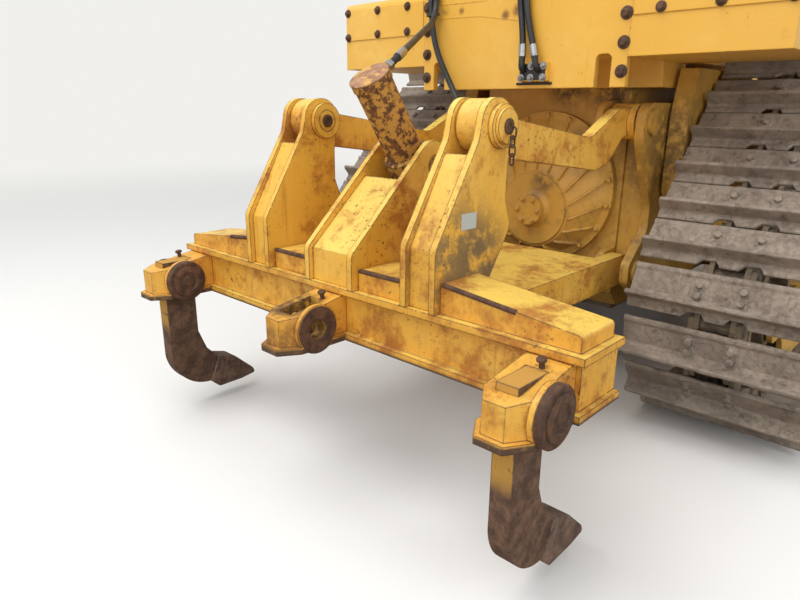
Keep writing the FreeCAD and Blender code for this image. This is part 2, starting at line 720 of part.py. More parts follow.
def sprocket():
    """The toothed ring: a padded disc with a bore, and one tooth turned round the axis."""
    body = doc.addObject("PartDesign::Body", "sprocket_left")
    plane = origin_of(body, "XZ_Plane")
    half = s.sprocket_wide / 2

    def pad(name, sketch):
        sketch.AttachmentSupport = [(plane, "")]
        sketch.MapMode = "FlatFace"
        feature = body.newObject("PartDesign::Pad", name)
        feature.Profile = sketch
        feature.Midplane = True
        bind(feature, "Length", s.sprocket_wide)
        return feature

    disc = body.newObject("Sketcher::SketchObject", "disc_outline")
    for radius in (s.tooth_root, s.sprocket_bore + s.fit):
        circle = disc.addGeometry(Part.Circle(V(), V(0, 0, 1), number(radius)), False)
        disc.addConstraint(Sketcher.Constraint("Coincident", circle, 3, -1, 1))
        index = disc.addConstraint(Sketcher.Constraint("Radius", circle, number(radius)))
        disc.setExpression("Constraints[%d]" % index, formula(radius))
    pad("disc", disc)
    tooth = outline("tooth_outline", [(s.tooth_root - 12, -s.tooth_foot), (s.tooth_tip, -s.tooth_foot / 2, 8),
                                      (s.tooth_tip, s.tooth_foot / 2, 8), (s.tooth_root - 12, s.tooth_foot)])
    body.addObject(tooth)
    teeth = body.newObject("PartDesign::PolarPattern", "teeth")
    teeth.Originals = [pad("tooth", tooth)]
    teeth.Axis = (origin_of(body, "Y_Axis"), [""])
    teeth.Angle = 360
    bind(teeth, "Occurrences", s.sprocket_teeth)
    body.Tip = teeth
    place(body, 0, half_gauge, s.sprocket_up)
    return body


def final_drive():
    """Turned housing from the case out through the sprocket to its cap, with the guard plate round it."""
    half = s.sprocket_wide / 2
    face = half_gauge - half
    points = [
        (0, s.case_half), (s.drive_tube + 60, s.case_half), (s.drive_tube + 60, s.case_half + 40),
        (s.drive_tube, s.case_half + 90), (s.drive_tube, face - s.drive_flange_thick - 60),
        (s.drive_flange, face - s.drive_flange_thick), (s.drive_flange, face),
        (s.sprocket_bore, face), (s.sprocket_bore, half_gauge + half),
        (s.sprocket_bore - 20, half_gauge + half), (s.sprocket_bore - 40, half_gauge + half + 60),
        (s.drive_cap, s.drive_reach - 30), (s.drive_cap - 12, s.drive_reach), (0, s.drive_reach),
    ]
    housing = lathe("drive_housing", "y", points, z=s.sprocket_up)
    rear, low, high = -s.drive_guard_rear, s.drive_guard_low, s.drive_guard_top
    plate = prism("drive_guard", "xz", [
        (rear + 190, low), (rear, low + 210, 180), (rear, high - 210, 150), (rear + 60, high),
        (s.drive_guard_front, high), (s.drive_guard_front, low)], s.drive_guard_inner, s.drive_guard_outer)
    return fuse("final_drive_left", housing, plate)


def idler_radius():
    """An idler's tread just clears the rails of the links, which lie across its round."""
    share = math.cos(pitch / number(s.idler_pin_radius) / 2)
    return s.idler_pin_radius * share - s.link_half - s.idler_gap


def idler(name, x):
    rim = s.rail_gap / 2 + s.rail_wide
    radius = idler_radius()
    points = [
        (0, -s.frame_half), (s.axle_radius, -s.frame_half), (s.axle_radius, -rim - 6),
        (s.idler_hub, -rim - 6),
        (s.idler_hub, -s.idler_web / 2), (radius - s.idler_rim, -s.idler_web / 2),
        (radius - s.idler_rim, -rim),
        (radius, -rim), (radius, rim), (radius - s.idler_rim, rim), (radius - s.idler_rim, s.idler_web / 2),
        (s.idler_hub, s.idler_web / 2), (s.idler_hub, rim + 6), (s.axle_radius, rim + 6),
        (s.axle_radius, s.frame_half), (0, s.frame_half),
    ]
    return lathe(name, "y", points, x=x, y=half_gauge, z=idler_up)


def roller(i):
    """A flanged track roller on its axle, resting on both rails."""
    inner = s.rail_gap / 2
    rim = inner + s.rail_wide + 3
    tread_up = s.grouser_tall + s.shoe_thick + 2 * s.link_half
    points = [
        (0, -s.frame_half), (s.axle_radius, -s.frame_half), (s.axle_radius, -rim),
        (s.roller_radius, -rim), (s.roller_radius, -inner + 10), (s.roller_waist, -inner + 18),
        (s.roller_waist, inner - 18), (s.roller_radius, inner - 10), (s.roller_radius, rim),
        (s.axle_radius, rim), (s.axle_radius, s.frame_half), (0, s.frame_half),
    ]
    return lathe("roller_%d" % i, "y", points, x=s.roller_first - s.roller_step * i, y=half_gauge,
                 z=tread_up + s.roller_radius + s.fit)


def roller_frame():
    """Box beam on two side plates whose ends fork round the idlers; rollers hang between the plates."""
    front, rear = s.front_idler_ahead, -s.rear_idler_behind
    fork = s.frame_fork
    first = s.roller_first + s.roller_radius
    last = s.roller_first - s.roller_step * (s.roller_count - 1) - s.roller_radius
    low, high = s.frame_low, s.frame_high
    side = [
        (rear - fork, idler_up - fork, 40), (rear + fork, idler_up - fork), (last, low, 30), (first, low, 30),
        (front - fork, idler_up - fork), (front + fork, idler_up - fork, 40),
        (front + fork, idler_up + fork, 40),
        (front - 2 * fork, high, 60), (rear + 2 * fork, high, 60), (rear - fork, idler_up + fork, 40),
    ]
    plates = []
    for name, low_y in (("inner", half_gauge - s.frame_half - s.frame_plate),
                        ("outer", half_gauge + s.frame_half)):
        plates.append(prism("frame_" + name, "xz", side, low_y, low_y + s.frame_plate))
    clear = s.idler_pin_radius - s.link_half + 20
    beam = box("frame_beam", (rear + clear, front - clear),
               (half_gauge - s.frame_half, half_gauge + s.frame_half), (s.frame_deck, high))
    stub = cylinder("arm_pin", "y", s.pivot_radius, half_gauge + s.frame_half + s.frame_plate,
                    s.arm_inner + s.arm_wide, x=s.trunnion_ahead, z=s.arm_trunnion_up)
    return fuse("roller_frame_left", beam, stub, *plates)


for side, word in ((1, "left"), (-1, "right")):
    node("track_" + word, track(side))
node("sprockets", both_sides("sprockets", sprocket()))
node("final_drives", both_sides("final_drives", final_drive()))
wheels = [idler("front_idler", s.front_idler_ahead), idler("rear_idler", -s.rear_idler_behind)]
wheels += [roller(i) for i in range(int(number(s.roller_count)))]
node("idlers_and_rollers", both_sides("idlers_and_rollers", group("wheels_left", *wheels)))
node("roller_frames", both_sides("roller_frames", roller_frame()))

frame_inside = half_gauge - s.frame_half - s.frame_plate
shaft = cylinder("shaft_left", "y", s.pivot_radius, s.case_half, frame_inside, x=s.pivot_ahead, z=s.pivot_up)
node("pivot_shaft", both_sides("pivot_shaft", shaft))
bar = prism("bar", "yz", [(-frame_inside, s.bar_low, 20), (frame_inside, s.bar_low, 20),
                          (frame_inside, s.bar_high, 20), (s.rail_inner, s.bar_high),
                          (s.bar_deep, s.rail_low),
                          (-s.bar_deep, s.rail_low), (-s.rail_inner, s.bar_high),
                          (-frame_inside, s.bar_high, 20)],
            s.bar_ahead - s.bar_deep / 2, s.bar_ahead + s.bar_deep / 2)
node("equalizer_bar", bar)

# Case, frame and guards
case = prism("main_case", "xz", [
    (-s.case_rear, s.case_low + s.case_chamfer), (-s.case_rear + s.case_chamfer, s.case_low),
    (s.case_front, s.case_low), (s.case_front, s.case_top), (-s.case_step, s.case_top),
    (-s.case_step, s.case_rear_top), (-s.case_rear, s.case_rear_top)], -s.case_half, s.case_half)
node("main_case", case)


def ring_at(name, radius, x, z):
    """A circle across the machine."""
    ring = doc.addObject("Part::Circle", name)
    ring.Placement = FreeCAD.Placement(V(), TURNS["x"])
    bind(ring, "Radius", radius)
    place(ring, x, 0, z)
    return ring


def rear_cover():
    """Round cover on the case: bolted flange, slanted dome to the lower set disc, and its cap."""
    face = -s.case_rear
    flange = face - s.cover_thick
    disc = flange - s.cover_dome
    cap = disc - s.cover_cap_out
    rim = cylinder("cover_flange", "x", s.cover_radius, flange, face, z=s.cover_flange_up)
    dome = doc.addObject("Part::Loft", "cover_dome")
    dome.Sections = [ring_at("dome_foot", s.cover_radius - 38, flange, s.cover_flange_up),
                     ring_at("dome_head", s.cover_disc + 14, disc + 10, s.cover_up)]
    dome.Solid = True
    dome.Ruled = True
    points = [(0, flange), (s.cover_disc, flange), (s.cover_disc, disc), (s.cover_cap + 22, disc),
              (s.cover_cap, disc - 20), (s.cover_cap, cap), (0, cap)]
    return fuse("rear_cover", rim, dome, lathe("cover_disc", "x", points, z=s.cover_up))


node("rear_cover", rear_cover())

rails = []
for word, low in (("left", s.rail_inner), ("right", -s.rail_outer)):
    rails.append(prism("rail_" + word, "xz", [
        (s.case_front, s.rail_low), (s.rail_front, s.rail_low, 60), (s.rail_front, s.rail_high, 40),
        (s.case_front, s.rail_high)], low, low + s.rail_outer - s.rail_inner))
cross = []
for name, x in (("front", s.rail_front - 2 * s.cross_deep), ("middle", s.bar_ahead - s.cross_deep)):
    cross.append(box("cross_" + name, (x, x + 2 * s.cross_deep), (-s.rail_inner, s.rail_inner),
                     (s.rail_low, s.rail_low + 2 * s.cross_deep)))
node("frame_rails", fuse("frame_rails", *rails, *cross))

guard_top = s.case_low
guard_low = guard_top - s.guard_thick
guard = prism("belly_guard", "xz", [
    (-s.case_rear + s.case_chamfer, guard_low), (s.rail_front, guard_low),
    (s.nose_rear + s.nose_deep, s.nose_low - s.guard_thick),
    (s.nose_rear + s.nose_deep, s.nose_low), (s.rail_front, guard_top),
    (-s.case_rear + s.case_chamfer, guard_top)],
    -s.rail_outer, s.rail_outer)
node("belly_guard", guard)

# Engine, hood and nose
node("engine", prism("engine", "xz", [
    (s.engine_rear, s.rail_high), (s.engine_front, s.rail_high), (s.engine_front, s.engine_top - 200, 40),
    (s.engine_front - 160, s.engine_top, 40), (s.engine_rear + 120, s.engine_top, 40),
    (s.engine_rear, s.engine_top - 160, 40)], -s.engine_half, s.engine_half))

nose_front = s.nose_rear + s.nose_deep
grille_low, grille_high = s.nose_low + 2 * s.nose_wall - 40, s.nose_top - s.nose_chamfer
grille_outer = s.nose_half - 10


def radiator_guard():
    """Heavy frame round the radiator core, open to the front where the grille doors close it."""
    half, cut_off = s.nose_half, s.nose_chamfer
    shell = prism("nose_shell", "yz", [
        (-half, s.nose_low, 30), (half, s.nose_low, 30), (half, s.nose_top - cut_off),
        (half - cut_off, s.nose_top),
        (-half + cut_off, s.nose_top), (-half, s.nose_top - cut_off)], s.nose_rear, nose_front)
    wall = s.nose_wall
    inside = prism("nose_inside", "yz", [
        (-half + wall, s.nose_low + 2 * wall), (half - wall, s.nose_low + 2 * wall),
        (half - wall, s.nose_top - cut_off - wall), (half - wall - cut_off, s.nose_top - wall),
        (-half + wall + cut_off, s.nose_top - wall), (-half + wall, s.nose_top - cut_off - wall)],
        s.nose_rear + s.core_thick, nose_front + 1)
    lugs = []
    for name, z in (("low", grille_low - 20 - s.fit - 40), ("high", grille_high + 20 + s.fit)):
        lug = box("grille_lug_" + name, (nose_front - 1, nose_front + 3 + s.grille_thick + s.hinge_radius),
                  (grille_outer - s.hinge_radius, grille_outer + s.hinge_radius), (z, z + 40))
        lugs += [lug, mirrored(lug)]
    return fuse("radiator_guard", cut("nose_open", shell, inside), *lugs)


node("radiator_guard", radiator_guard())


def grille_door():
    """Half of the grille: a rim with level slats."""
    low, high = grille_low, grille_high
    inner, outer = s.side_door_gap / 2, grille_outer
    face = nose_front + 3
    rim = s.grille_rim
    plate = box("grille_plate", (face, face + s.grille_thick), (inner, outer), (low, high))
    hole = box("grille_hole", (face - 1, face + s.grille_thick + 1), (inner + rim, outer - rim),
               (low + rim, high - rim))
    frame = cut("grille_frame", plate, hole)
    slats = []
    count = int(number(s.grille_slats))
    step = (high - low - 2 * rim) / (s.grille_slats + 1)
    for i in range(count):
        up = low + rim + step * (i + 1) - s.grille_slat_tall / 2
        slats.append(prism("slat_%d" % i, "xz", [
            (face + 6, up), (face + s.grille_thick - 8, up + s.grille_slat_tall / 2),
            (face + s.grille_thick - 8, up + s.grille_slat_tall / 2 + 6),
            (face + 6, up + s.grille_slat_tall)],
            inner + rim - 1, outer - rim + 1))
    tube = cylinder("grille_tube", "z", s.hinge_radius, low - 20, high + 20, x=face + s.grille_thick, y=outer)
    return fuse("grille_door_left", frame, tube, *slats)


grille = grille_door()
node("grille_door_left", grille)
twin("grille_door_right", grille)


def hood():
    """One folded cover over the engine, falling towards the nose."""
    half, top, wall = s.hood_half, s.hood_rear_top, s.panel
    low, chamfer = top - s.hood_skirt, s.hood_chamfer
    points = [
        (half, low), (half, top - chamfer), (half - chamfer, top), (-half + chamfer, top),
        (-half, top - chamfer),
        (-half, low), (-half + wall, low), (-half + wall, top - chamfer - wall / 2),
        (-half + chamfer + wall / 2, top - wall), (half - chamfer - wall / 2, top - wall),
        (half - wall, top - chamfer - wall / 2), (half - wall, low),
    ]
    fall = s.hood_drop / (s.nose_rear - s.hood_rear)
    cover = prism("hood_cover", "yz", points, s.hood_rear, s.nose_rear, sweep={"z": -fall})
    front_low = low - s.hood_drop
    side = prism("hood_side", "xz", [
        (s.side_door_front + s.side_door_gap, s.side_door_low), (s.nose_rear, s.side_door_low),
        (s.nose_rear, front_low + 10), (s.side_door_front + s.side_door_gap, front_low + 10 + fall * 200)],
        half - wall, half)
    return fuse("hood", cover, side, mirrored(side))


node("hood", hood())


def engine_door():
    """Side panel below the hood's skirt, hung on a tube at its rear edge."""
    gap = s.side_door_gap
    rear, front = s.hood_rear + gap, s.side_door_front
    top = s.hood_rear_top - s.hood_skirt - gap
    fall = s.hood_drop / (s.nose_rear - s.hood_rear)
    low = s.hood_half - s.panel
    door = prism("engine_door_skin", "xz", [
        (rear, s.side_door_low), (front, s.side_door_low, 40), (front, top - fall * (front - rear), 20),
        (rear, top - fall * gap)], low, s.hood_half)
    hinge_x = rear + s.hinge_radius
    hinge_top = s.hood_rear_top - s.hood_skirt - fall * (gap + s.hinge_radius * 2) - s.fit
    tube = cylinder("engine_door_tube", "z", s.hinge_radius, s.side_door_low, hinge_top, x=hinge_x,
                    y=s.hood_half)
    return fuse("engine_door_left", door, tube)


engine_side = engine_door()
node("engine_door_left", engine_side)
twin("engine_door_right", engine_side)


def stack():
    """Muffler body, stack and slanted outlet."""
    low = s.hood_rear_top - s.hood_drop * (s.stack_ahead - s.hood_rear) / (s.nose_rear - s.hood_rear)
    foot = low + s.hood_drop / 10 + 6
    points = [
        (0, foot), (s.muffler_radius - 30, foot), (s.muffler_radius, foot + 30),
        (s.muffler_radius, foot + s.muffler_tall - 30), (s.muffler_radius - 40, foot + s.muffler_tall),
        (s.stack_radius, foot + s.muffler_tall), (s.stack_radius, s.stack_top),
        (s.stack_radius - 6, s.stack_top),
        (s.stack_radius - 6, s.stack_top - 200), (0, s.stack_top - 200)]
    pipe = lathe("stack_pipe", "z", points, x=s.stack_ahead, y=-s.stack_side)
    collar = box("stack_collar", (s.stack_ahead - 60, s.stack_ahead + 60),
                 (-s.stack_side - 60, -s.stack_side + 60),
                 (low - 2, foot + 5))
    roof = prism("stack_seat", "yz", [
        (-s.hood_half, s.hood_rear_top - 400), (s.hood_half, s.hood_rear_top - 400),
        (s.hood_half, s.hood_rear_top),
        (-s.hood_half, s.hood_rear_top)], s.hood_rear, s.nose_rear,
        sweep={"z": -s.hood_drop / (s.nose_rear - s.hood_rear)})
    return fuse("exhaust_stack", pipe, cut("stack_foot", collar, roof))


node("exhaust_stack", stack())


def intake():
    """Air tube with its precleaner bowl."""
    low = s.hood_rear_top - s.hood_drop * (s.intake_ahead - s.hood_rear) / (s.nose_rear - s.hood_rear)
    foot = low + s.hood_drop / 10 + 6
    bowl = s.intake_top - 260
    points = [
        (0, foot), (s.intake_radius, foot), (s.intake_radius, bowl), (s.intake_bowl, bowl + 60),
        (s.intake_bowl, bowl + 170), (s.intake_bowl - 30, bowl + 200), (s.intake_bowl - 60, s.intake_top),
        (0, s.intake_top)]
    tube = lathe("intake_tube", "z", points, x=s.intake_ahead, y=s.intake_side)
    collar = box("intake_collar", (s.intake_ahead - 50, s.intake_ahead + 50),
                 (s.intake_side - 50, s.intake_side + 50),
                 (low - 2, foot + 5))
    roof = prism("intake_seat", "yz", [
        (-s.hood_half, s.hood_rear_top - 400), (s.hood_half, s.hood_rear_top - 400),
        (s.hood_half, s.hood_rear_top),
        (-s.hood_half, s.hood_rear_top)], s.hood_rear, s.nose_rear,
        sweep={"z": -s.hood_drop / (s.nose_rear - s.hood_rear)})
    return fuse("air_intake", tube, cut("intake_foot", collar, roof))


node("air_intake", intake())

# Cab
floor_low = s.floor_top - s.floor_thick


def cab_shell():
    """Floor, posts and roof of the cab, with its windows and both doorways cut."""
    wall, half = s.cab_wall, s.cab_half
    shell = prism("cab_outside", "xz", [
        (-s.cab_rear, floor_low), (s.cab_front, floor_low), (s.cab_front, s.head_up - 200),
        (s.cab_front - 120, s.cab_roof, 60), (-s.cab_rear, s.cab_roof, 60)], -half, half)
    inside = prism("cab_inside", "xz", [
        (-s.cab_rear + wall, s.floor_top), (s.cab_front - wall, s.floor_top),
        (s.cab_front - wall, s.head_up - 210),
        (s.cab_front - 120 - wall, s.cab_roof - wall, 30), (-s.cab_rear + wall, s.cab_roof - wall, 30)],
        -half + wall, half - wall)
    rim = s.door_rim
    holes = [
        box("rear_window", (-s.cab_rear - 1, -s.cab_rear + wall + 1), (-half + 2 * rim, half - 2 * rim),
            (s.sill_up + 2 * rim, s.head_up - rim)),
        box("front_window", (s.cab_front - wall - 150, s.cab_front + 1), (-half + rim, half - rim),
            (s.dash_up, s.head_up - rim)),
        box("side_windows", (-s.cab_rear + 2 * rim, s.door_rear - rim), (-half - 1, half + 1),
            (s.sill_up, s.head_up - rim)),
        box("doorways", (s.door_rear, s.door_front), (-half - 1, half + 1), (s.door_low, s.door_high)),
    ]
    return cut("cab_shell", shell, inside, *holes)


node("cab_shell", cab_shell())


def cab_glass():
    """Fixed panes, each let into the middle of its wall."""
    wall, half, rim, thick = s.cab_wall, s.cab_half, s.door_rim, s.glass_thick
    panes = [
        box("rear_pane", (-s.cab_rear + wall / 2, -s.cab_rear + wall / 2 + thick),
            (-half + 2 * rim, half - 2 * rim), (s.sill_up + 2 * rim, s.head_up - rim)),
        box("front_pane", (s.cab_front - wall / 2, s.cab_front - wall / 2 + thick),
            (-half + rim, half - rim), (s.dash_up, s.head_up - 200)),
    ]
    side = box("side_pane", (-s.cab_rear + 2 * rim, s.door_rear - rim),
               (half - wall / 2, half - wall / 2 + thick), (s.sill_up, s.head_up - rim))
    return group("cab_glass", *panes, side, mirrored(side))


node("cab_glass", cab_glass())


def cab_door():
    """Door frame with its window opening, hung on a tube at its rear edge."""
    gap, rim = s.side_door_gap, s.door_rim
    outer = s.cab_half
    rear, front = s.door_rear + gap, s.door_front - gap
    low, high = s.door_low + gap, s.door_high - gap
    skin = prism("door_skin", "xz", [(rear, low, 30), (front, low, 60), (front, high, 60), (rear, high, 30)],
                 outer - s.door_thick, outer)
    window = prism("door_window", "xz", [
        (rear + rim, low + 4 * rim, 50), (front - rim, low + 4 * rim, 50), (front - rim, high - rim, 50),
        (rear + rim, high - rim, 50)], outer - s.door_thick - 1, outer + 1)
    tube = cylinder("door_tube", "z", s.hinge_radius, s.door_low + s.fit, s.door_high - s.fit,
                    x=rear + s.hinge_radius, y=outer)
    return fuse("cab_door_left", cut("door_frame", skin, window), tube)


def door_glass():
    gap, rim = s.side_door_gap, s.door_rim
    rear, front = s.door_rear + gap, s.door_front - gap
    low, high = s.door_low + gap, s.door_high - gap
    deep = s.cab_half - s.door_thick / 2
    return prism("door_glass_left", "xz", [
        (rear + rim, low + 4 * rim, 50), (front - rim, low + 4 * rim, 50), (front - rim, high - rim, 50),
        (rear + rim, high - rim, 50)], deep - s.glass_thick / 2, deep + s.glass_thick / 2)


door = cab_door()
node("cab_door_left", door)
twin("cab_door_right", door)
pane = door_glass()
node("door_glass_left", pane)
twin("door_glass_right", pane)


def roll_bar():
    """Two posts and a canopy over the cab."""
    rear, front = -s.rops_rear, s.rops_front
    inner, outer = s.cab_half + s.side_door_gap, s.cab_half + s.side_door_gap + s.rops_post_wide
    post = prism("rops_post", "yz", [
        (inner, s.fender_front_top), (outer, s.fender_front_top), (outer, s.rops_under + s.rops_thick, 60),
        (inner, s.rops_under + s.rops_thick)], rear, rear + s.rops_post_deep)
    foot = box("rops_foot", (rear - 20, rear + s.rops_post_deep + 40), (inner, outer + 40),
               (s.fender_front_top, s.fender_front_top + 30))
    canopy = prism("canopy", "xz", [
        (rear, s.rops_under), (front - 60, s.rops_under), (front, s.rops_under + s.rops_thick / 2),
        (front - 60, s.rops_under + s.rops_thick), (rear, s.rops_under + s.rops_thick)], -outer, outer)
    return fuse("roll_bar", canopy, post, mirrored(post), foot, mirrored(foot))


node("roll_bar", roll_bar())


def seat():
    """Base, cushion, back and arm rests in one outline each."""
    x = s.seat_ahead
    base = box("seat_base", (x - 180, x + 180), (-190, 190), (s.floor_top, s.floor_top + 330))
    cushion = prism("seat_cushion", "xz", [
        (x - 250, s.floor_top + 330), (x + 260, s.floor_top + 330, 20), (x + 270, s.floor_top + 450, 60),
        (x - 250, s.floor_top + 430)], -260, 260)
    back = prism("seat_back", "xz", [
        (x - 250, s.floor_top + 330), (x - 130, s.floor_top + 380), (x - 190, s.floor_top + 1020, 50),
        (x - 310, s.floor_top + 1030, 50)], -240, 240)
    return fuse("seat", base, cushion, back)


node("seat", seat())


def console():
    """Side consoles with their levers, and the dash with its hood."""
    low = s.floor_top
    side = prism("side_console", "xz", [
        (-100, low), (420, low), (440, low + 560, 60), (-60, low + 620, 60)], 330, 470)
    lever = cylinder("lever", "z", 18, low + 500, low + 820, x=330, y=400)
    dash = prism("dash", "xz", [
        (s.cab_front - s.cab_wall - 180, low), (s.cab_front - s.cab_wall, low),
        (s.cab_front - s.cab_wall, low + 620), (s.cab_front - s.cab_wall - 230, low + 560, 40)], -300, 300)
    left = fuse("left_console", side, lever)
    return group("console", left, mirrored(left), dash)


node("console", console())

# Tank, guard and fenders
tank = prism("fuel_tank", "xz", [
    (-s.tank_rear, s.tank_low), (-s.case_rear - 25, s.tank_low, 40), (-s.case_rear, s.case_rear_top),
    (-s.tank_front, s.case_rear_top), (-s.tank_front, s.tank_top, 60),
    (-s.tank_rear, s.tank_top, 120)], -s.tank_half, s.tank_half)
node("fuel_tank", tank)


def tank_guard():
    """Bolted plate behind the tank, notched for the links below, with the block of the two straight hoses."""
    half, low = s.tank_half, s.guard_low
    points = [(-half, low)]
    for side in (-1, 1):
        near = side * s.upper_link_side - s.guard_notch_wide / 2
        far = near + s.guard_notch_wide
        deep = low + s.guard_notch_tall
        points += [(near, low), (near, deep, 25), (far, deep, 25), (far, low)]
    points += [(half, low), (half, s.tank_top - 130), (-half, s.tank_top - 130)]
    plate = prism("tank_plate", "yz", points, -s.guard_rear, -s.tank_rear)
    block = box("hose_block", (-s.guard_rear - s.port_thick, -s.guard_rear + 1),
                (-s.port_right, -s.port_left),
                (s.port_low, s.port_high))
    return fuse("tank_guard", plate, block)


node("tank_guard", tank_guard())


def fender():
    """Box beside the tank and, ahead of it, the deck beside the cab, stepped over the sprocket."""
    rear = prism("fender_rear", "xz", [
        (-s.guard_rear, s.fender_low), (-s.fender_step, s.fender_low), (-s.fender_step, s.fender_arch),
        (-s.tank_front, s.fender_arch), (-s.tank_front, s.fender_top, 40), (-s.guard_rear, s.fender_top, 40)],
        s.tank_half, s.fender_half)
    deck = prism("fender_deck", "xz", [
        (-s.tank_front, s.fender_arch), (s.fender_ahead, s.fender_arch, 20),
        (s.fender_ahead, s.fender_front_top, 20),
        (-s.tank_front, s.fender_front_top)], s.cab_half, s.fender_half)
    return fuse("fender_left", rear, deck)


node("fenders", both_sides("fenders", fender()))

# Ripper: mount, lower frame, beam with towers and pockets, upper links, cylinder
lower_x, lower_z = -s.lower_pivot_behind, s.lower_pivot_up
upper_x, upper_z = -s.upper_pivot_behind, s.upper_pivot_up
cheek_out = s.mount_inner + s.mount_plate


def ripper_mount():
    """Cheek plates and inner lugs on the case for both pivots, with their blocks."""
    front = -s.case_rear + s.mount_block
    head = s.mount_head
    cheek = prism("cheek", "xz", [
        (front, upper_z + head), (front, lower_z - 103, 60), (lower_x - 5, lower_z - 103, 60),
        (lower_x - 95, lower_z - 50, 40), (lower_x - 95, lower_z + 50, 50),
        (-s.case_rear - 3, lower_z + 200, 80),
        (-s.case_rear - 3, lower_z + 320, 80), (upper_x - head, upper_z - head, head - 3),
        (upper_x - head, upper_z + head, head - 3)], s.mount_inner, cheek_out)
    block = box("mount_block", (-s.case_rear + 15, front), (s.case_half, s.mount_inner),
                (lower_z - 60, upper_z + 60))
    top_lug = prism("top_lug", "xz", [
        (-s.case_rear, upper_z - head), (upper_x - head, upper_z - head, head - 3),
        (upper_x - head, upper_z + head, head - 3), (-s.case_rear, upper_z + head + 20)], s.top_lug_inner,
        s.top_lug_inner + s.lug_thick)
    low_lug = prism("low_lug", "xz", [
        (-s.case_rear, lower_z - 95), (lower_x - 80, lower_z - 80, 70), (lower_x - 80, lower_z + 80, 70),
        (-s.case_rear, lower_z + 90)], s.case_half - s.lug_thick, s.case_half)
    side = fuse("mount_side", cheek, block)
    holes = [cylinder("upper_bore", "y", s.pin_radius + s.run_fit, 300, cheek_out + 1, x=upper_x, z=upper_z),
             cylinder("lower_bore", "y", s.pin_radius + s.run_fit, 300, cheek_out + 1, x=lower_x, z=lower_z)]
    return cut("mount_left", fuse("mount_pieces", side, top_lug, low_lug), *holes)


node("ripper_mount", both_sides("ripper_mount", ripper_mount()))


def mount_pins():
    """Pins of the four front pivots, with heads outside the cheeks."""
    pins_left = []
    for name, x, z, inner in (("upper", upper_x, upper_z, s.top_lug_inner),
                              ("lower", lower_x, lower_z, s.case_half - s.lug_thick)):
        points = [(0, inner), (s.pin_radius, inner), (s.pin_radius, cheek_out),
                  (s.pin_radius + 18, cheek_out),
                  (s.pin_radius + 18, cheek_out + 16), (0, cheek_out + 16)]
        pins_left.append(lathe("mount_pin_" + name, "y", points, x=x, z=z))
    return group("pins_left", *pins_left)


node("mount_pins", both_sides("mount_pins", mount_pins()))


def lower_frame():
    """Wide deck between the lower pivots: flat top, ears at its corners, slot and clevis for the rod."""
    rear_x = lower_x - s.link_span
    wall = s.deck_wall
    ear = prism("ear_beam", "xz", [
        (lower_x, s.deck_low, 20), (lower_x, s.deck_top, 20), (rear_x, s.deck_top, 20),
        (rear_x, s.deck_low, 20)],
        s.deck_half - s.ear_wide, s.deck_half)
    eyes = [cylinder("ear_front", "y", s.deck_eye, s.deck_half - s.ear_wide, s.deck_half, x=lower_x,
                     z=lower_z),
            cylinder("ear_rear", "y", s.deck_eye, s.deck_half - s.ear_wide, s.deck_half, x=rear_x, z=lower_z)]
    front, rear = lower_x - s.deck_setback, rear_x + s.deck_eye + 15
    inner = s.deck_half - s.ear_wide + 1
    plate = box("deck_plate", (rear, front), (-inner, inner), (s.deck_top - wall, s.deck_top))
    ends = [box("deck_end_front", (front - wall, front), (-inner, inner), (s.deck_low, s.deck_top)),
            box("deck_end_rear", (rear, rear + wall), (-inner, inner), (s.deck_low, s.deck_top))]
    eye_x = -s.rod_eye_behind
    clevis = s.eye_half + s.drift_side
    slot = box("deck_slot", (eye_x - 225, eye_x + 105), (-clevis, clevis),
               (s.deck_top - wall - 1, s.deck_top + 1))
    cheeks = [prism("clevis_cheek", "xz", [
        (eye_x - 140, s.deck_top - wall / 2), (eye_x - 80, s.rod_eye_up - 65, 40),
        (eye_x + 80, s.rod_eye_up - 65, 40),
        (eye_x + 140, s.deck_top - wall / 2)], clevis, clevis + wall)]
    cheeks.append(mirrored(cheeks[0]))
    side = fuse("frame_side", ear, *eyes)
    solid = fuse("lower_solid", cut("deck_open", plate, slot), *ends, *cheeks, side, mirrored(side))
    holes = []
    for name, x in (("front", lower_x), ("rear", rear_x)):
        holes.append(cylinder("ear_bore_" + name, "y", s.pin_radius + s.run_fit, -s.deck_half - 1,
                              s.deck_half + 1,
                              x=x, z=lower_z))
    return cut("lower_frame", solid, *holes)


node("lower_frame", lower_frame())

tower_pin_x, tower_pin_z = upper_x - s.link_span, upper_z
beam_pin_x = lower_x - s.link_span
rear_edge, front_face = -s.beam_rear, -s.beam_front


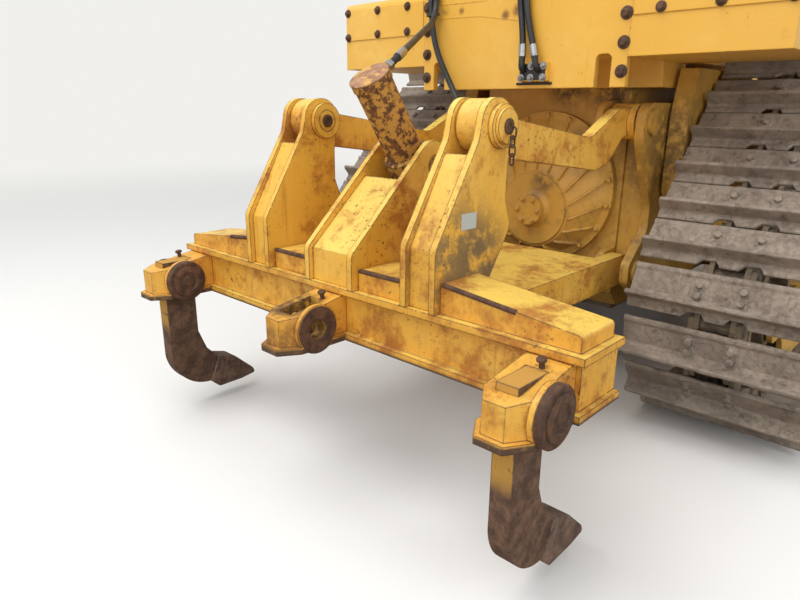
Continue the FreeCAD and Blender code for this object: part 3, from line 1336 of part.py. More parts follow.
def outer_tower():
    """Two plates and the sloping cover between them, with bosses for the upper link's pin."""
    x, z = tower_pin_x, tower_pin_z
    profile = [
        (rear_edge, s.beam_high), (rear_edge, s.beam_high + 219, 50), (x - 120, z - 45, 60),
        (x - 90, z + 95, 85),
        (x + 90, z + 95, 85), (x + 55, z - 130, 60), (x + 55, z - 260, 60), (x + 95, z - 360, 50),
        (front_face, s.beam_high)]
    plates = [prism("tower_inner", "xz", profile, s.tower_inner, s.tower_inner + s.tower_plate),
              prism("tower_outer", "xz", profile, s.tower_outer - s.tower_plate, s.tower_outer)]
    cover = prism("tower_cover", "xz", [
        (rear_edge + 22, s.beam_high), (rear_edge + 22, s.beam_high + 212), (x - 138, z - 92),
        (x - 116, z - 106),
        (rear_edge + 48, s.beam_high + 205), (rear_edge + 48, s.beam_high)],
        s.tower_inner + s.tower_plate, s.tower_outer - s.tower_plate)
    bosses = [cylinder("boss_out", "y", s.pin_radius + 30, s.tower_outer, s.tower_outer + s.boss_out, x=x,
                       z=z),
              cylinder("boss_in", "y", s.pin_radius + 30, s.tower_inner - s.boss_out, s.tower_inner, x=x,
                       z=z)]
    bore = cylinder("tower_bore", "y", s.pin_radius + s.run_fit, s.tower_inner - 60, s.tower_outer + 60, x=x,
                    z=z)
    return cut("outer_tower", fuse("outer_tower_solid", *plates, cover, *bosses), bore)


def centre_tower():
    """Two plates that carry the cylinder's trunnion, with the cover between them."""
    x, z = -s.trunnion_behind, s.trunnion_up
    profile = [
        (rear_edge, s.beam_high), (rear_edge, s.beam_high + 138, 40), (x - 85, z + 60, 40),
        (x - 40, z + 98, 60),
        (x + 90, z + 98, 85), (x + 90, z - 85, 70), (x - 60, s.beam_high + 130, 60),
        (front_face, s.beam_high)]
    plate = prism("centre_plate", "xz", profile, s.centre_half - s.tower_plate, s.centre_half)
    cover = prism("centre_cover", "xz", [
        (rear_edge + 22, s.beam_high), (rear_edge + 22, s.beam_high + 131), (x - 158, z - 50),
        (x - 142, z - 70),
        (rear_edge + 46, s.beam_high + 122), (rear_edge + 46, s.beam_high)],
        -s.centre_half + s.tower_plate, s.centre_half - s.tower_plate)
    bore = cylinder("trunnion_bore", "y", s.trunnion_radius + s.run_fit, -s.centre_half - 1,
                    s.centre_half + 1,
                    x=x, z=z)
    return cut("centre_tower", fuse("centre_solid", plate, mirrored(plate), cover), bore)


tower = outer_tower()
node("ripper_towers", group("ripper_towers", tower, mirrored(tower), centre_tower()))


def pocket(name, side_y):
    """Shank pocket behind the web: chamfered box with a sloping top on a wide flange, slotted and bored."""
    half, tail = s.pocket_wide / 2, -web - s.pocket_reach
    body = prism(name + "_body", "xy", [
        (-web, side_y - half), (-web, side_y + half), (tail + 60, side_y + half), (tail, side_y + half - 40),
        (tail, side_y - half + 40), (tail + 60, side_y - half)], s.beam_low, s.pocket_high)
    slope = prism(name + "_slope", "xz", [
        (-web + 1, s.beam_low - 1), (-web + 1, s.pocket_high), (-web - 20, s.pocket_high),
        (tail - 1, s.pocket_tail_up), (tail - 1, s.beam_low - 1)], side_y - half - 1, side_y + half + 1)
    shaped = doc.addObject("Part::MultiCommon", name + "_shape")
    shaped.Shapes = [body, slope]
    lip = s.pocket_lip
    flange = prism(name + "_flange", "xy", [
        (rear_edge, side_y - half - lip), (rear_edge, side_y + half + lip), (tail + 60, side_y + half + lip),
        (tail - lip, side_y + half - 30), (tail - lip, side_y - half + 30), (tail + 60, side_y - half - lip)],
        s.beam_low, s.beam_low + s.beam_lip)
    ring = cylinder(name + "_ring", "y", s.shank_pin_head, side_y - half - s.ring_thick, side_y - half + 1,
                    x=-s.shank_behind, z=s.shank_pin_up)
    slot_half = s.shank_thick / 2 + s.fit
    deep = s.shank_deep / 2 + s.fit
    slot = box(name + "_slot", (-s.shank_behind - deep, -s.shank_behind + deep),
               (side_y - slot_half, side_y + slot_half), (s.beam_low - 1, s.pocket_high + 1))
    bore = cylinder(name + "_bore", "y", s.shank_pin_radius + s.run_fit, side_y - half - s.ring_thick - 1,
                    side_y + half + 1, x=-s.shank_behind, z=s.shank_pin_up)
    lip_room = box(name + "_lip_room", (rear_edge, -web + 1), (side_y - 2 * half, side_y + 2 * half),
                   (s.beam_low - 1, s.beam_low + s.beam_lip))
    return cut(name, fuse(name + "_solid", shaped, flange, ring), slot, bore, lip_room)


node("shank_pockets", group("shank_pockets", pocket("pocket_left", s.pocket_side), pocket("pocket_middle", 0),
                            pocket("pocket_right", -s.pocket_side)))


def ripper_beam():
    """Cross beam with flange plates, tapered upper boxes and the clevises of the lower frame."""
    half = s.beam_half
    core = box("beam_core", (-web, front_face), (-half + 20, half - 20), (s.beam_low, s.beam_high))
    lips = [box("lip_low", (rear_edge, front_face), (-half, half), (s.beam_low, s.beam_low + s.beam_lip)),
            box("lip_high", (rear_edge, front_face), (-half, half), (s.beam_high - s.beam_lip, s.beam_high))]
    cap = prism("upper_box", "yz", [
        (s.tower_outer, s.beam_high), (s.cap_outer_side, s.beam_high), (s.cap_outer_side, s.cap_outer_up, 15),
        (s.tower_outer, s.cap_inner_up)], -web + 2, front_face - 26)
    clevises = []
    for name, low in (("in", s.deck_half - s.ear_wide - s.run_side - s.clevis_wide),
                      ("out", s.deck_half + s.run_side)):
        clevises.append(prism("beam_clevis_" + name, "xz", [
            (front_face - 30, s.beam_low, 20), (beam_pin_x + 78, s.beam_low, 75),
            (beam_pin_x + 78, lower_z + 78, 75),
            (beam_pin_x - 60, s.beam_high - 20, 20), (front_face - 30, s.beam_high)], low,
            low + s.clevis_wide))
    solid = fuse("beam_solid", core, *lips, cap, mirrored(cap), *clevises, *[mirrored(c) for c in clevises])
    bore = cylinder("beam_bore", "y", s.pin_radius + s.run_fit, -s.deck_half - 80, s.deck_half + 80,
                    x=beam_pin_x, z=lower_z)
    return cut("ripper_beam", solid, bore)


node("ripper_beam", ripper_beam())


def ripper_pins():
    """Pins of the four rear pivots, with heads outside the plates."""
    outer = s.deck_half + s.run_side + s.clevis_wide
    inner = s.deck_half - s.ear_wide - s.run_side - s.clevis_wide
    ends = [("upper", tower_pin_x, tower_pin_z, s.tower_inner - s.boss_out, s.tower_outer + s.boss_out),
            ("lower", beam_pin_x, lower_z, inner, outer)]
    left = []
    for name, x, z, near, far in ends:
        points = [(0, near), (s.pin_radius, near), (s.pin_radius, far), (s.pin_radius + 16, far),
                  (s.pin_radius + 16, far + 14), (0, far + 14)]
        left.append(lathe("ripper_pin_" + name, "y", points, x=x, z=z))
    return group("ripper_pins_left", *left)


node("ripper_pins", both_sides("ripper_pins", ripper_pins()))


joint_low = (-s.tip_behind - s.tip_long, s.tip_up + 42)
joint_high = (-s.tip_behind - s.tip_long + 55, s.tip_up + 170)


def shank(name, side_y):
    """Straight down to a rounded foot that turns a little forward to the tooth."""
    rear, front = -s.shank_behind - s.shank_deep / 2, -s.shank_behind + s.shank_deep / 2
    blade = prism(name, "xz", [
        (rear, s.pocket_high - 14), (rear, s.shank_bend), joint_low, joint_high,
        (front + 40, s.shank_bend + 5, 60),
        (front, s.shank_bend + 110), (front, s.pocket_high - 14)],
        side_y - s.shank_thick / 2, side_y + s.shank_thick / 2, bows={1: s.shank_curve})
    bore = cylinder(name + "_bore", "y", s.shank_pin_radius + s.run_fit, side_y - s.shank_thick,
                    side_y + s.shank_thick,
                    x=-s.shank_behind, z=s.shank_pin_up)
    return cut(name + "_piece", blade, bore)


node("shanks", group("shanks", shank("shank_left", s.pocket_side), shank("shank_right", -s.pocket_side)))


def tooth_tip(name, side_y):
    """Short worn tooth, thick at the shank and blunt in front."""
    half = s.shank_thick / 2 + 10
    nose = -s.tip_behind
    return prism(name, "xz", [
        joint_low, (nose - 220, s.tip_up, 20), (nose - 85, s.tip_up + 2), (nose, s.tip_up + 14, 10),
        (nose - 12, s.tip_up + 44, 15), (nose - 120, s.tip_up + 144, 40), joint_high], side_y - half,
        side_y + half)


node("shank_tips",
     group("shank_tips", tooth_tip("tip_left", s.pocket_side), tooth_tip("tip_right", -s.pocket_side)))


def shank_pin(name, side_y):
    """Pin with its big round head on the right of the pocket."""
    face = side_y - s.pocket_wide / 2 - s.ring_thick
    end = side_y + s.pocket_wide / 2 + 22
    points = [(0, face - 26), (s.shank_pin_head - 6, face - 26), (s.shank_pin_head, face - 20),
              (s.shank_pin_head, face),
              (s.shank_pin_radius, face), (s.shank_pin_radius, end), (0, end)]
    return lathe(name, "y", points, x=-s.shank_behind, z=s.shank_pin_up)


node("shank_pins", group("shank_pins", shank_pin("shank_pin_left", s.pocket_side),
                         shank_pin("shank_pin_right", -s.pocket_side)))


def upper_link():
    """Deep link that sinks towards the front, then rises in a crank to its forward eye."""
    side, half = s.upper_link_side, s.link_half_wide
    x0, x1, z = tower_pin_x, upper_x, upper_z
    arm = prism("link_arm", "xz", [
        (x0, z + 46), (x1 - 424, z - 64, 120), (x1 - 166, z + 57, 70), (x1 - 20, z + 72), (x1, z - 50),
        (x1 - 115, z - 74, 50), (x1 - 224, z - 174, 90), (x1 - 341, z - 212, 120), (x1 - 1099, z - 117, 90),
        (x0 - 10, z - 90)], side - half, side + half)
    eyes = []
    holes = []
    for name, x, radius, wide, fit in (("rear", x0, s.link_rear_eye, s.link_rear_half, s.open_fit),
                                       ("front", x1, s.link_front_eye, s.link_front_half, s.run_fit)):
        eyes.append(cylinder("link_%s_eye" % name, "y", radius, side - wide, side + wide, x=x, z=z))
        holes.append(cylinder("link_%s_bore" % name, "y", s.pin_radius + fit, side - wide - 1,
                              side + wide + 1,
                              x=x, z=z))
    return cut("upper_link_left", fuse("link_solid", arm, *eyes), *holes)


node("upper_links", both_sides("upper_links", upper_link()))

# Ripper cylinder: drawn upright about its trunnion, then leaned
run_x = s.rod_eye_behind - s.trunnion_behind
run_z = s.trunnion_up - s.rod_eye_up
ripper_lean = lean(run_x, run_z)
eye_to_trunnion = hypotenuse(run_x, run_z)


def ripper_barrel():
    """Barrel with its gland, head and trunnion ring, open inside for the rod."""
    r, low, high = s.barrel_radius, -s.barrel_below, s.barrel_above
    bore = s.rod_radius + s.run_fit
    room = r - 16
    points = [
        (bore, low), (r - 6, low), (r + 8, low + 20), (r + 8, low + 60), (r, low + 66), (r, -60),
        (s.ring_radius, -50),
        (s.ring_radius, 50), (r, 60), (r, high - 40), (r + 5, high - 34), (r + 5, high), (0, high),
        (0, high - 30),
        (room, high - 30), (room, low + 70), (bore, low + 70)]
    tube = lathe("barrel_tube", "z", points)
    pin = cylinder("trunnion_pin", "y", s.trunnion_radius, s.barrel_radius - 4, s.centre_half + 6)
    ports = [cylinder(name, "x", s.port_radius, s.barrel_radius - 6, s.barrel_radius + s.port_out, z=along)
             for name, along in (("head_port", s.port_along), ("rod_port", -s.rod_port_along))]
    return fuse("ripper_cylinder", tube, pin, mirrored(pin), *ports)


node("ripper_cylinder", ripper_barrel(), x=-s.trunnion_behind, z=s.trunnion_up, tilt=ripper_lean)


def ripper_rod():
    """Rod with its eye below and its piston in the barrel."""
    bottom = -eye_to_trunnion
    top = s.rod_inside - s.barrel_below
    points = [(0, bottom), (s.rod_radius, bottom), (s.rod_radius, top), (s.barrel_radius - 18, top),
              (s.barrel_radius - 18, top + 50), (0, top + 50)]
    rod = lathe("rod", "z", points)
    eye = cylinder("rod_eye", "y", s.eye_radius, -s.eye_half, s.eye_half, z=bottom)
    return fuse("ripper_rod", rod, eye)


node("ripper_rod", ripper_rod(), x=-s.trunnion_behind, z=s.trunnion_up, tilt=ripper_lean)

# Hoses: straight runs joined by tangent bends
face, out = -s.guard_rear, -s.guard_rear - s.hose_out
block_face = face - s.port_thick


def beside_port(along, off):
    """x, y and z of a place on the axis of a port of the ripper cylinder, a distance off its face."""
    reach = s.barrel_radius + s.port_out + off
    return (-s.trunnion_behind + along * sine(ripper_lean) + reach * cosine(ripper_lean), 0,
            s.trunnion_up + along * cosine(ripper_lean) - reach * sine(ripper_lean))


# part of the shorter run that a bend takes up
BEND_SHARE = 0.45
# name, then x, y and z of each corner in the machine's frame, with the bend of a steel elbow
HOSES = [
    ("hose_upper", [
        (face, 474, s.hose_top), (out, 474, s.hose_top, s.elbow_bend), (-1152, 474, 2030), (-1164, 467, 1985),
        (-1194, 449, 1945), (-1245, 418, 1914), (-1330, 366, 1884), (-1470, 282, 1841), (-1670, 161, 1777),
        (-1850, 51, 1722), beside_port(s.port_along, 79), beside_port(s.port_along, s.fit)]),
    ("hose_lower", [
        (face, 512, s.hose_top), (out, 512, s.hose_top, s.elbow_bend), (-1151, 511, 2030), (-1151, 506, 1975),
        (-1152, 498, 1915), (-1154, 480, 1835), (-1157, 444, 1752), (-1160, 391, 1668), (-1168, 335, 1590),
        (-1196, 265, 1509), (-1262, 190, 1428), (-1372, 115, 1366), (-1500, 50, 1330), (-1592, 14, 1311),
        beside_port(-s.rod_port_along, 74), beside_port(-s.rod_port_along, s.fit)]),
    ("hose_left_drop", [
        (face, -36, s.hose_top), (out, -36, s.hose_top, s.elbow_bend), (-1151, -38, 2010), (-1151, -50, 1925),
        (-1154, -66, 1835), (-1165, -79, 1750), (block_face - 27, -83, s.hose_elbow, s.block_bend),
        (block_face, -83, s.hose_elbow)]),
    ("hose_right_drop", [
        (face, -68, s.hose_top), (out, -68, s.hose_top, s.elbow_bend), (-1151, -70, 2010), (-1151, -83, 1925),
        (-1154, -110, 1835), (-1165, -143, 1748), (block_face - 27, -164, s.hose_elbow, s.block_bend),
        (block_face, -164, s.hose_elbow)]),
]


def hose(name, corners):
    """A tube along the corners, each one rounded as far as its two runs allow."""
    spots = [V(*[number(item) for item in corner[:3]]) for corner in corners]
    edges = []
    radii = []
    start = spots[0]
    for before, corner, spot, after in zip(spots, corners[1:], spots[1:], spots[2:]):
        turn = (spot - before).getAngle(after - spot)
        shorter = min((spot - before).Length, (after - spot).Length)
        radii.append(number(corner[3]) if len(corner) > 3 else BEND_SHARE * shorter / math.tan(turn / 2))
        first, halfway, last = corner_arc(before, spot, after, radii[-1])
        edges += [Part.makeLine(start, first), Part.Arc(first, halfway, last).toShape()]
        start = last
    edges.append(Part.makeLine(start, spots[-1]))
    path = Part.Wire(edges)
    ring = Part.Wire(Part.makeCircle(number(s.hose_radius), spots[0], spots[1] - spots[0]))
    piece = doc.addObject("Part::Feature", name)
    piece.Shape = path.makePipeShell([ring], True, False)
    section = math.pi * number(s.hose_radius) ** 2
    print("%s: %.0f mm long, volume to section times length %.4f, bends %s" % (
        name, path.Length, piece.Shape.Volume / section / path.Length, " ".join("%.0f" % r for r in radii)))
    return piece


for name, corners in HOSES:
    node(name, hose(name, corners))

# Blade, push arms and lift cylinders
arm_out = s.arm_inner + s.arm_wide
arm_middle = s.arm_inner + s.arm_wide / 2


def push_arm():
    """Deep box arm from its trunnion to the blade, with the lug of the brace."""
    x, z = s.trunnion_ahead, s.arm_trunnion_up
    half = s.arm_deep / 2
    arm = prism("arm_box", "xz", [
        (x, z - half), (s.arm_bend, z - half - 40, 200), (s.blade_back, z - half - 60),
        (s.blade_back, z + half - 60),
        (s.arm_bend, z + half - 10, 200), (x, z + half)], s.arm_inner, arm_out)
    eye = cylinder("arm_eye", "y", s.arm_eye, s.arm_inner, arm_out, x=x, z=z)
    lugs = [prism("brace_lug", "xz", [
        (s.brace_foot - 150, z + 40), (s.brace_foot + 150, z + 40),
        (s.brace_foot + 60, s.brace_foot_up + 60, 50),
        (s.brace_foot - 60, s.brace_foot_up + 60, 50)], low, low + s.lug_plate)
        for low in (arm_middle - s.brace_half - s.lug_plate, arm_middle + s.brace_half)]
    hole = cylinder("arm_bore", "y", s.pivot_radius + s.run_fit, s.arm_inner - 1, arm_out + 1, x=x, z=z)
    return cut("push_arm_left", fuse("arm_solid", arm, eye, *lugs), hole)


arm = push_arm()
node("push_arm_left", arm)
twin("push_arm_right", arm)


def section(name, points, bows=None):
    """The same outline across the straight middle and swept forward along both wings."""
    straight = prism(name + "_middle", "xz", points, -s.blade_straight, s.blade_straight, bows)
    wing = prism(name + "_wing", "xz", points, s.blade_straight, s.blade_half, bows, sweep={"x": wing_slope})
    return [straight, wing, mirrored(wing)]


def blade():
    """Curved mouldboard with its swept wings, on a box at its foot and ribs up its back."""
    low, high = s.board_low, s.blade_top
    foot, head = s.blade_edge - 160, s.board_top_ahead
    thick = s.board_thick
    board = section("board", [(foot, low), (head, high), (head - thick - 4, high), (foot - thick, low)],
                    bows={0: -s.board_radius, 2: s.board_radius})
    box_low = section("foot_box", [
        (s.blade_back, low - 30, 30), (foot, low - 30), (foot, low + 60), (s.blade_back + 205, low + 400),
        (s.blade_back, low + 340, 40)])
    top_box = section("top_box", [
        (head - 120, high - 190), (head - 70, high - 150), (head - thick, high - 10),
        (head - 120, high - 10, 20)])
    ribs = []
    for i, side_y in enumerate((0, s.lift_side - 130, s.blade_straight)):
        rib = prism("rib_%d" % i, "xz", [
            (s.blade_back + 20, low + 320), (s.blade_back + 120, low + 320), (s.blade_back + 120, high - 420),
            (head - 90, high - 100), (head - 120, high - 60), (s.blade_back + 110, high - 330)],
            side_y - 15, side_y + 15)
        ribs.append(rib)
        if i:
            ribs.append(mirrored(rib))
    lift_x, lift_z = s.lift_eye_ahead, s.lift_eye_up
    clevis = []
    near = s.lift_side + s.lift_eye_half + s.drift_side
    for name, low_y in (("out", near), ("in", s.lift_side - s.lift_eye_half - s.drift_side - s.lug_plate)):
        clevis.append(prism("lift_lug_" + name, "xz", [
            (lift_x - 70, lift_z - 60, 50), (s.blade_back + 160, low + 260),
            (s.blade_back + 160, lift_z + 190),
            (lift_x - 70, lift_z + 60, 50)], low_y, low_y + s.lug_plate))
    head_lugs = [prism("brace_head_lug", "xz", [
        (s.brace_head - 60, s.brace_head_up - 60, 50), (s.brace_head + 60, s.brace_head_up - 130),
        (s.brace_head + 450, s.brace_head_up - 130), (s.brace_head + 450, s.brace_head_up + 130),
        (s.brace_head + 60, s.brace_head_up + 100), (s.brace_head - 60, s.brace_head_up + 60, 50)],
        low_y, low_y + s.lug_plate)
        for low_y in (arm_middle - s.brace_half - s.lug_plate, arm_middle + s.brace_half)]
    pad = box("arm_pad", (s.blade_back, s.blade_back + 200), (s.arm_inner - 10, arm_out + 10),
              (s.board_low, s.board_low + 330))
    sides = [pad, *clevis, *head_lugs]
    back = fuse("blade_back", *box_low, *top_box, *ribs, *sides, *[mirrored(piece) for piece in sides])
    ahead = section("board_front", [(foot, low - 100), (foot, low), (head, high), (head + 700, high),
                                    (head + 700, low - 100)], bows={1: -s.board_radius})
    return fuse("blade", cut("blade_trimmed", back, *ahead), *board)


node("blade", blade())


def cutting_edge():
    """Bolted edge below the mouldboard, swept with it."""
    foot = s.blade_edge - 160
    low = s.board_low
    pieces = section("edge", [
        (foot + 1, low + 60), (foot + 1, low - 30), (s.blade_edge - 45, s.blade_low),
        (s.blade_edge, s.blade_low),
        (foot + 40, low + 60)])
    return fuse("cutting_edge", *pieces)


node("cutting_edge", cutting_edge())

brace_lean = lean(s.brace_head - s.brace_foot, s.brace_head_up - s.brace_foot_up)
brace_long = hypotenuse(s.brace_head - s.brace_foot, s.brace_head_up - s.brace_foot_up)


def brace():
    """Tube between the arm's lug and the blade's, with an eye at each end."""
    half = s.brace_half
    neck = half - 4
    points = [(0, 20), (neck, 20), (neck, 130), (s.brace_radius, 160), (s.brace_radius, brace_long - 160),
              (neck, brace_long - 130), (neck, brace_long - 20), (0, brace_long - 20)]
    tube = lathe("brace_tube", "z", points, y=arm_middle)
    eyes = [cylinder("brace_eye_low", "y", 50, arm_middle - half, arm_middle + half),
            cylinder("brace_eye_high", "y", 50, arm_middle - half, arm_middle + half, z=brace_long)]
    return fuse("brace_left", tube, *eyes)


node("blade_braces", both_sides("blade_braces", brace()), x=s.brace_foot, z=s.brace_foot_up, tilt=brace_lean)

lift_run = s.lift_ahead - s.lift_eye_ahead
lift_rise = s.lift_up - s.lift_eye_up
lift_lean = lean(lift_run, lift_rise)
lift_span = hypotenuse(lift_run, lift_rise)


def lift_barrel():
    """Barrel with its trunnion boss, open inside for the rod."""
    r, low, high = s.lift_barrel_radius, -s.lift_below, s.lift_above
    bore = s.lift_rod_radius + s.run_fit
    points = [
        (bore, low), (r, low), (r + 7, low + 12), (r + 7, low + 50), (r, low + 56), (r, -70), (r + 10, -60),
        (r + 10, 60), (r, 70), (r, high - 30), (r + 5, high - 24), (r + 5, high), (0, high), (0, high - 25),
        (r - 12, high - 25), (r - 12, low + 60), (bore, low + 60)]
    tube = lathe("lift_tube", "z", points, y=s.lift_side)
    boss = cylinder("lift_boss", "y", s.yoke_pin + 18, s.lift_side - r - s.boss_long, s.lift_side - r + 6)
    hole = cylinder("lift_boss_bore", "y", s.yoke_pin + s.run_fit, s.lift_side - r - s.boss_long - 1,
                    s.lift_side - r - 6)
    return cut("lift_cylinder_left", fuse("lift_solid", tube, boss), hole)


node("lift_cylinders", both_sides("lift_cylinders", lift_barrel()), x=s.lift_ahead, z=s.lift_up,
     tilt=lift_lean)


def lift_rod():
    top = -s.lift_below + s.lift_rod_inside
    points = [(0, -lift_span), (s.lift_rod_radius, -lift_span), (s.lift_rod_radius, top),
              (s.lift_barrel_radius - 14, top), (s.lift_barrel_radius - 14, top + 40), (0, top + 40)]
    rod = lathe("lift_rod", "z", points, y=s.lift_side)
    eye = cylinder("lift_eye", "y", s.lift_eye_radius, s.lift_side - s.lift_eye_half,
                   s.lift_side + s.lift_eye_half,
                   z=-lift_span)
    return fuse("lift_rod_left", rod, eye)


node("lift_rods", both_sides("lift_rods", lift_rod()), x=s.lift_ahead, z=s.lift_up, tilt=lift_lean)


def lift_yoke():
    """Bracket on the radiator guard with the pin of one lift cylinder."""
    x, z = s.lift_ahead, s.lift_up
    face = s.lift_side - s.lift_barrel_radius - s.boss_long - 5
    block = prism("yoke_block", "xz", [
        (x - 95, z - 130, 40), (x + 95, z - 130, 40), (x + 95, z + 110, 40), (x - 95, z + 110, 40)],
        s.nose_half, face)
    pin = cylinder("yoke_pin", "y", s.yoke_pin, face - 5, s.lift_side - s.lift_barrel_radius - 8, x=x, z=z)
    return fuse("lift_yoke_left", block, pin)


node("lift_yokes", both_sides("lift_yokes", lift_yoke()))


def lamp(name, x, y, z, way):
    """Round work lamp on its bracket; way is 1 looking forward and -1 looking back."""
    points = [(0, 0), (40, 0), (75, way * 60), (75, way * 90), (0, way * 90)]
    if way < 0:
        points = [(0, -90), (75, -90), (75, -60), (40, 0), (0, 0)]
    return lathe(name, "x", points, x=x, y=y, z=z)


lamps = [lamp("lamp_front", s.rops_front + 0, 520, s.rops_under + s.rops_thick / 2, 1),
         lamp("lamp_rear", -s.rops_rear, 560, s.rops_under + s.rops_thick / 2, -1)]
node("work_lamps", both_sides("work_lamps", group("lamps_left", *lamps)))

# Every object must be sound before anything is written
doc.recompute()
for obj in doc.Objects:
    if "Invalid" in obj.State or "Error" in obj.State:
        raise RuntimeError("failed: %s %s" % (obj.Name, obj.State))
for piece in nodes:
    if piece.Shape.isNull() or not piece.Shape.isValid():
        raise RuntimeError("unsound: " + piece.Label)

os.makedirs("parts", exist_ok=True)
for piece in nodes:
    piece.Shape.exportStep(os.path.join("parts", piece.Label + ".step"))
    limits = piece.Shape.BoundBox
    print("%-20s %2d solids  x %6.0f %6.0f  y %6.0f %6.0f  z %6.0f %6.0f" % (
        piece.Label, len(piece.Shape.Solids), limits.XMin, limits.XMax, limits.YMin, limits.YMax,
        limits.ZMin, limits.ZMax))
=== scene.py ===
# %% [markdown]
# # A crawler bulldozer, dressed around its CAD model
#
# The steel itself comes from the CAD model, in metres, and is never moved or changed here.
# This file gives each surface the finish of the real machine and adds what a drawing leaves out:
# bolts, weld beads, track shoes with their mud, hoses, the padded seat and the small fittings.
# Every added piece but the two hoses to the ripper cylinder is told which moving body it rides on, so the
# blade, ripper and doors can be posed.

# %% Load the model and note its box
import json
import math

import bmesh
import bpy
from mathutils import Matrix, Vector


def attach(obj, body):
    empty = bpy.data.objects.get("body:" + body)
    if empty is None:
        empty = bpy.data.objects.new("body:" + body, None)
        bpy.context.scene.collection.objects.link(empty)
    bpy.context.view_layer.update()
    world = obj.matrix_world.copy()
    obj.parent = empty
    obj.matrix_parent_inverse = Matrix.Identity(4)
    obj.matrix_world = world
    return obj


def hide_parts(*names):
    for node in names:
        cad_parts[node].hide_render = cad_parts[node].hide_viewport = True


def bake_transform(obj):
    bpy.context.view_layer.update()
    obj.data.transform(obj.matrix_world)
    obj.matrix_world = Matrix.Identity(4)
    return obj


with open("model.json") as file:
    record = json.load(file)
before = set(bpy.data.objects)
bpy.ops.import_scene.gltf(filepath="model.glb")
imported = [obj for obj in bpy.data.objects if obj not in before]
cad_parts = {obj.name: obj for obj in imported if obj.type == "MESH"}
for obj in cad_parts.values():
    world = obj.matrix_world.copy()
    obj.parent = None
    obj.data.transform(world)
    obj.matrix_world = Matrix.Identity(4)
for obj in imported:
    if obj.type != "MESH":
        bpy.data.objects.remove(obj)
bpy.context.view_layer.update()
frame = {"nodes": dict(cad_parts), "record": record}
nodes = frame["nodes"]
scene = bpy.context.scene

# %% [markdown]
# ## One way to name a place
#
# On the drawing board every place is in millimetres, measured forward from the axis of the raised
# sprocket, to the left of the centre line and up from the ground. The model's own zero lies below the
# middle of the machine's length, so one function turns a drawing place into a model place.

# %% Places and colours
MIDDLE = 676.172  # mm from the sprocket axis forward to the middle of the length


def at(x, y, z):
    return Vector(((x - MIDDLE) / 1000, y / 1000, z / 1000))


def linear(code):
    """An sRGB hex colour as the linear colour that a shader expects."""
    parts = [int(code[i : i + 2], 16) / 255 for i in (1, 3, 5)]
    return [p / 12.92 if p <= 0.04045 else ((p + 0.055) / 1.055) ** 2.4 for p in parts] + [1]


# %% [markdown]
# ## The camera
#
# The machine is seen from behind its right rear corner, from about head height, looking forward and to
# the left. The lens is as wide as a phone's: 28 mm on a full frame. The camera turns by its three axes,
# which are easier to read than angles: where it looks, its right and its up.

# %% Camera
EYE = (-3880, -1843, 1501)  # mm, a drawing place
FOCAL_MM, TILT = 28.26, math.radians(0.4)
look = Vector((0.6969, 0.6544, -0.2940)).normalized()
right = Vector((0.6845, -0.7290, 0.0)).normalized()

camera = bpy.data.objects.new("camera", bpy.data.cameras.new("camera"))
scene.collection.objects.link(camera)
scene.camera = camera
camera.data.lens = FOCAL_MM
camera.data.clip_start, camera.data.clip_end = 0.05, 900
turn = Matrix((right, right.cross(look), -look)).transposed() @ Matrix.Rotation(TILT, 3, "Z")
camera.matrix_world = Matrix.Translation(at(*EYE)) @ turn.to_4x4()

# %% [markdown]
# ## Floor and light
#
# The machine stood outdoors under a bright cloudy sky, so the light is wide and soft and mostly comes
# from above. A pale world gives that light from all round, and three large lamps give it a direction and
# the floor its soft shadow. The level is plain: a colour renders about as bright as it is written.
# Away from the machine the floor fades into the backdrop, so no horizon shows. The camera sees it as pale
# paper, while it throws back only as much light as damp ground does, so the undersides stay dark.

# %% Floor
PAPER, PAPER_SEEN, PAPER_LIT = "#f1f0ec", "#efede9", "#9f968b"  # far away, to the camera, to other rays
FADE_FROM, FADE_TO = 5.0, 16.0  # metres from the machine's middle

floor_mesh = bpy.data.meshes.new("floor")
floor_mesh.from_pydata([(-400, -400, 0), (400, -400, 0), (400, 400, 0), (-400, 400, 0)], [], [(0, 1, 2, 3)])
floor = bpy.data.objects.new("floor", floor_mesh)
scene.collection.objects.link(floor)


def add(tree, kind, links=None, **settings):
    """Adds a node, sets its properties, and fills its inputs with values, hex colours or other sockets."""
    made = tree.nodes.new(kind)
    for name, value in settings.items():
        setattr(made, name, value)
    for name, value in (links or {}).items():
        if isinstance(value, str) and value.startswith("#"):
            value = linear(value)
        if isinstance(value, bpy.types.NodeSocket):
            tree.links.new(value, made.inputs[name])
        else:
            made.inputs[name].default_value = value
    return made


def material(name):
    """An empty material with its node tree: the material, its tree and its output node."""
    made = bpy.data.materials.new(name)
    made.use_nodes = True
    tree = made.node_tree
    tree.nodes.clear()
    return made, tree, tree.nodes.new("ShaderNodeOutputMaterial")


paper, tree, out = material("pale_paper_floor")
to_eye = add(tree, "ShaderNodeLightPath").outputs["Is Camera Ray"]
ground = add(tree, "ShaderNodeMix", {0: to_eye, 6: PAPER_LIT, 7: PAPER_SEEN}, data_type="RGBA")
shader = add(tree, "ShaderNodeBsdfPrincipled", {"Base Color": ground.outputs[2], "Roughness": 0.9})
glow = add(tree, "ShaderNodeEmission", {"Color": PAPER, "Strength": 1.0})
place = add(tree, "ShaderNodeTexCoord")
away = add(tree, "ShaderNodeVectorMath", {0: place.outputs["Object"]}, operation="LENGTH")
fade = add(tree, "ShaderNodeMapRange", {"Value": away.outputs["Value"], "From Min": FADE_FROM,
                                        "From Max": FADE_TO}, interpolation_type="SMOOTHSTEP")
faded = add(tree, "ShaderNodeMixShader", {0: fade.outputs[0], 1: shader.outputs[0], 2: glow.outputs[0]})
tree.links.new(faded.outputs[0], out.inputs[0])
floor.data.materials.append(paper)
print("floor made")

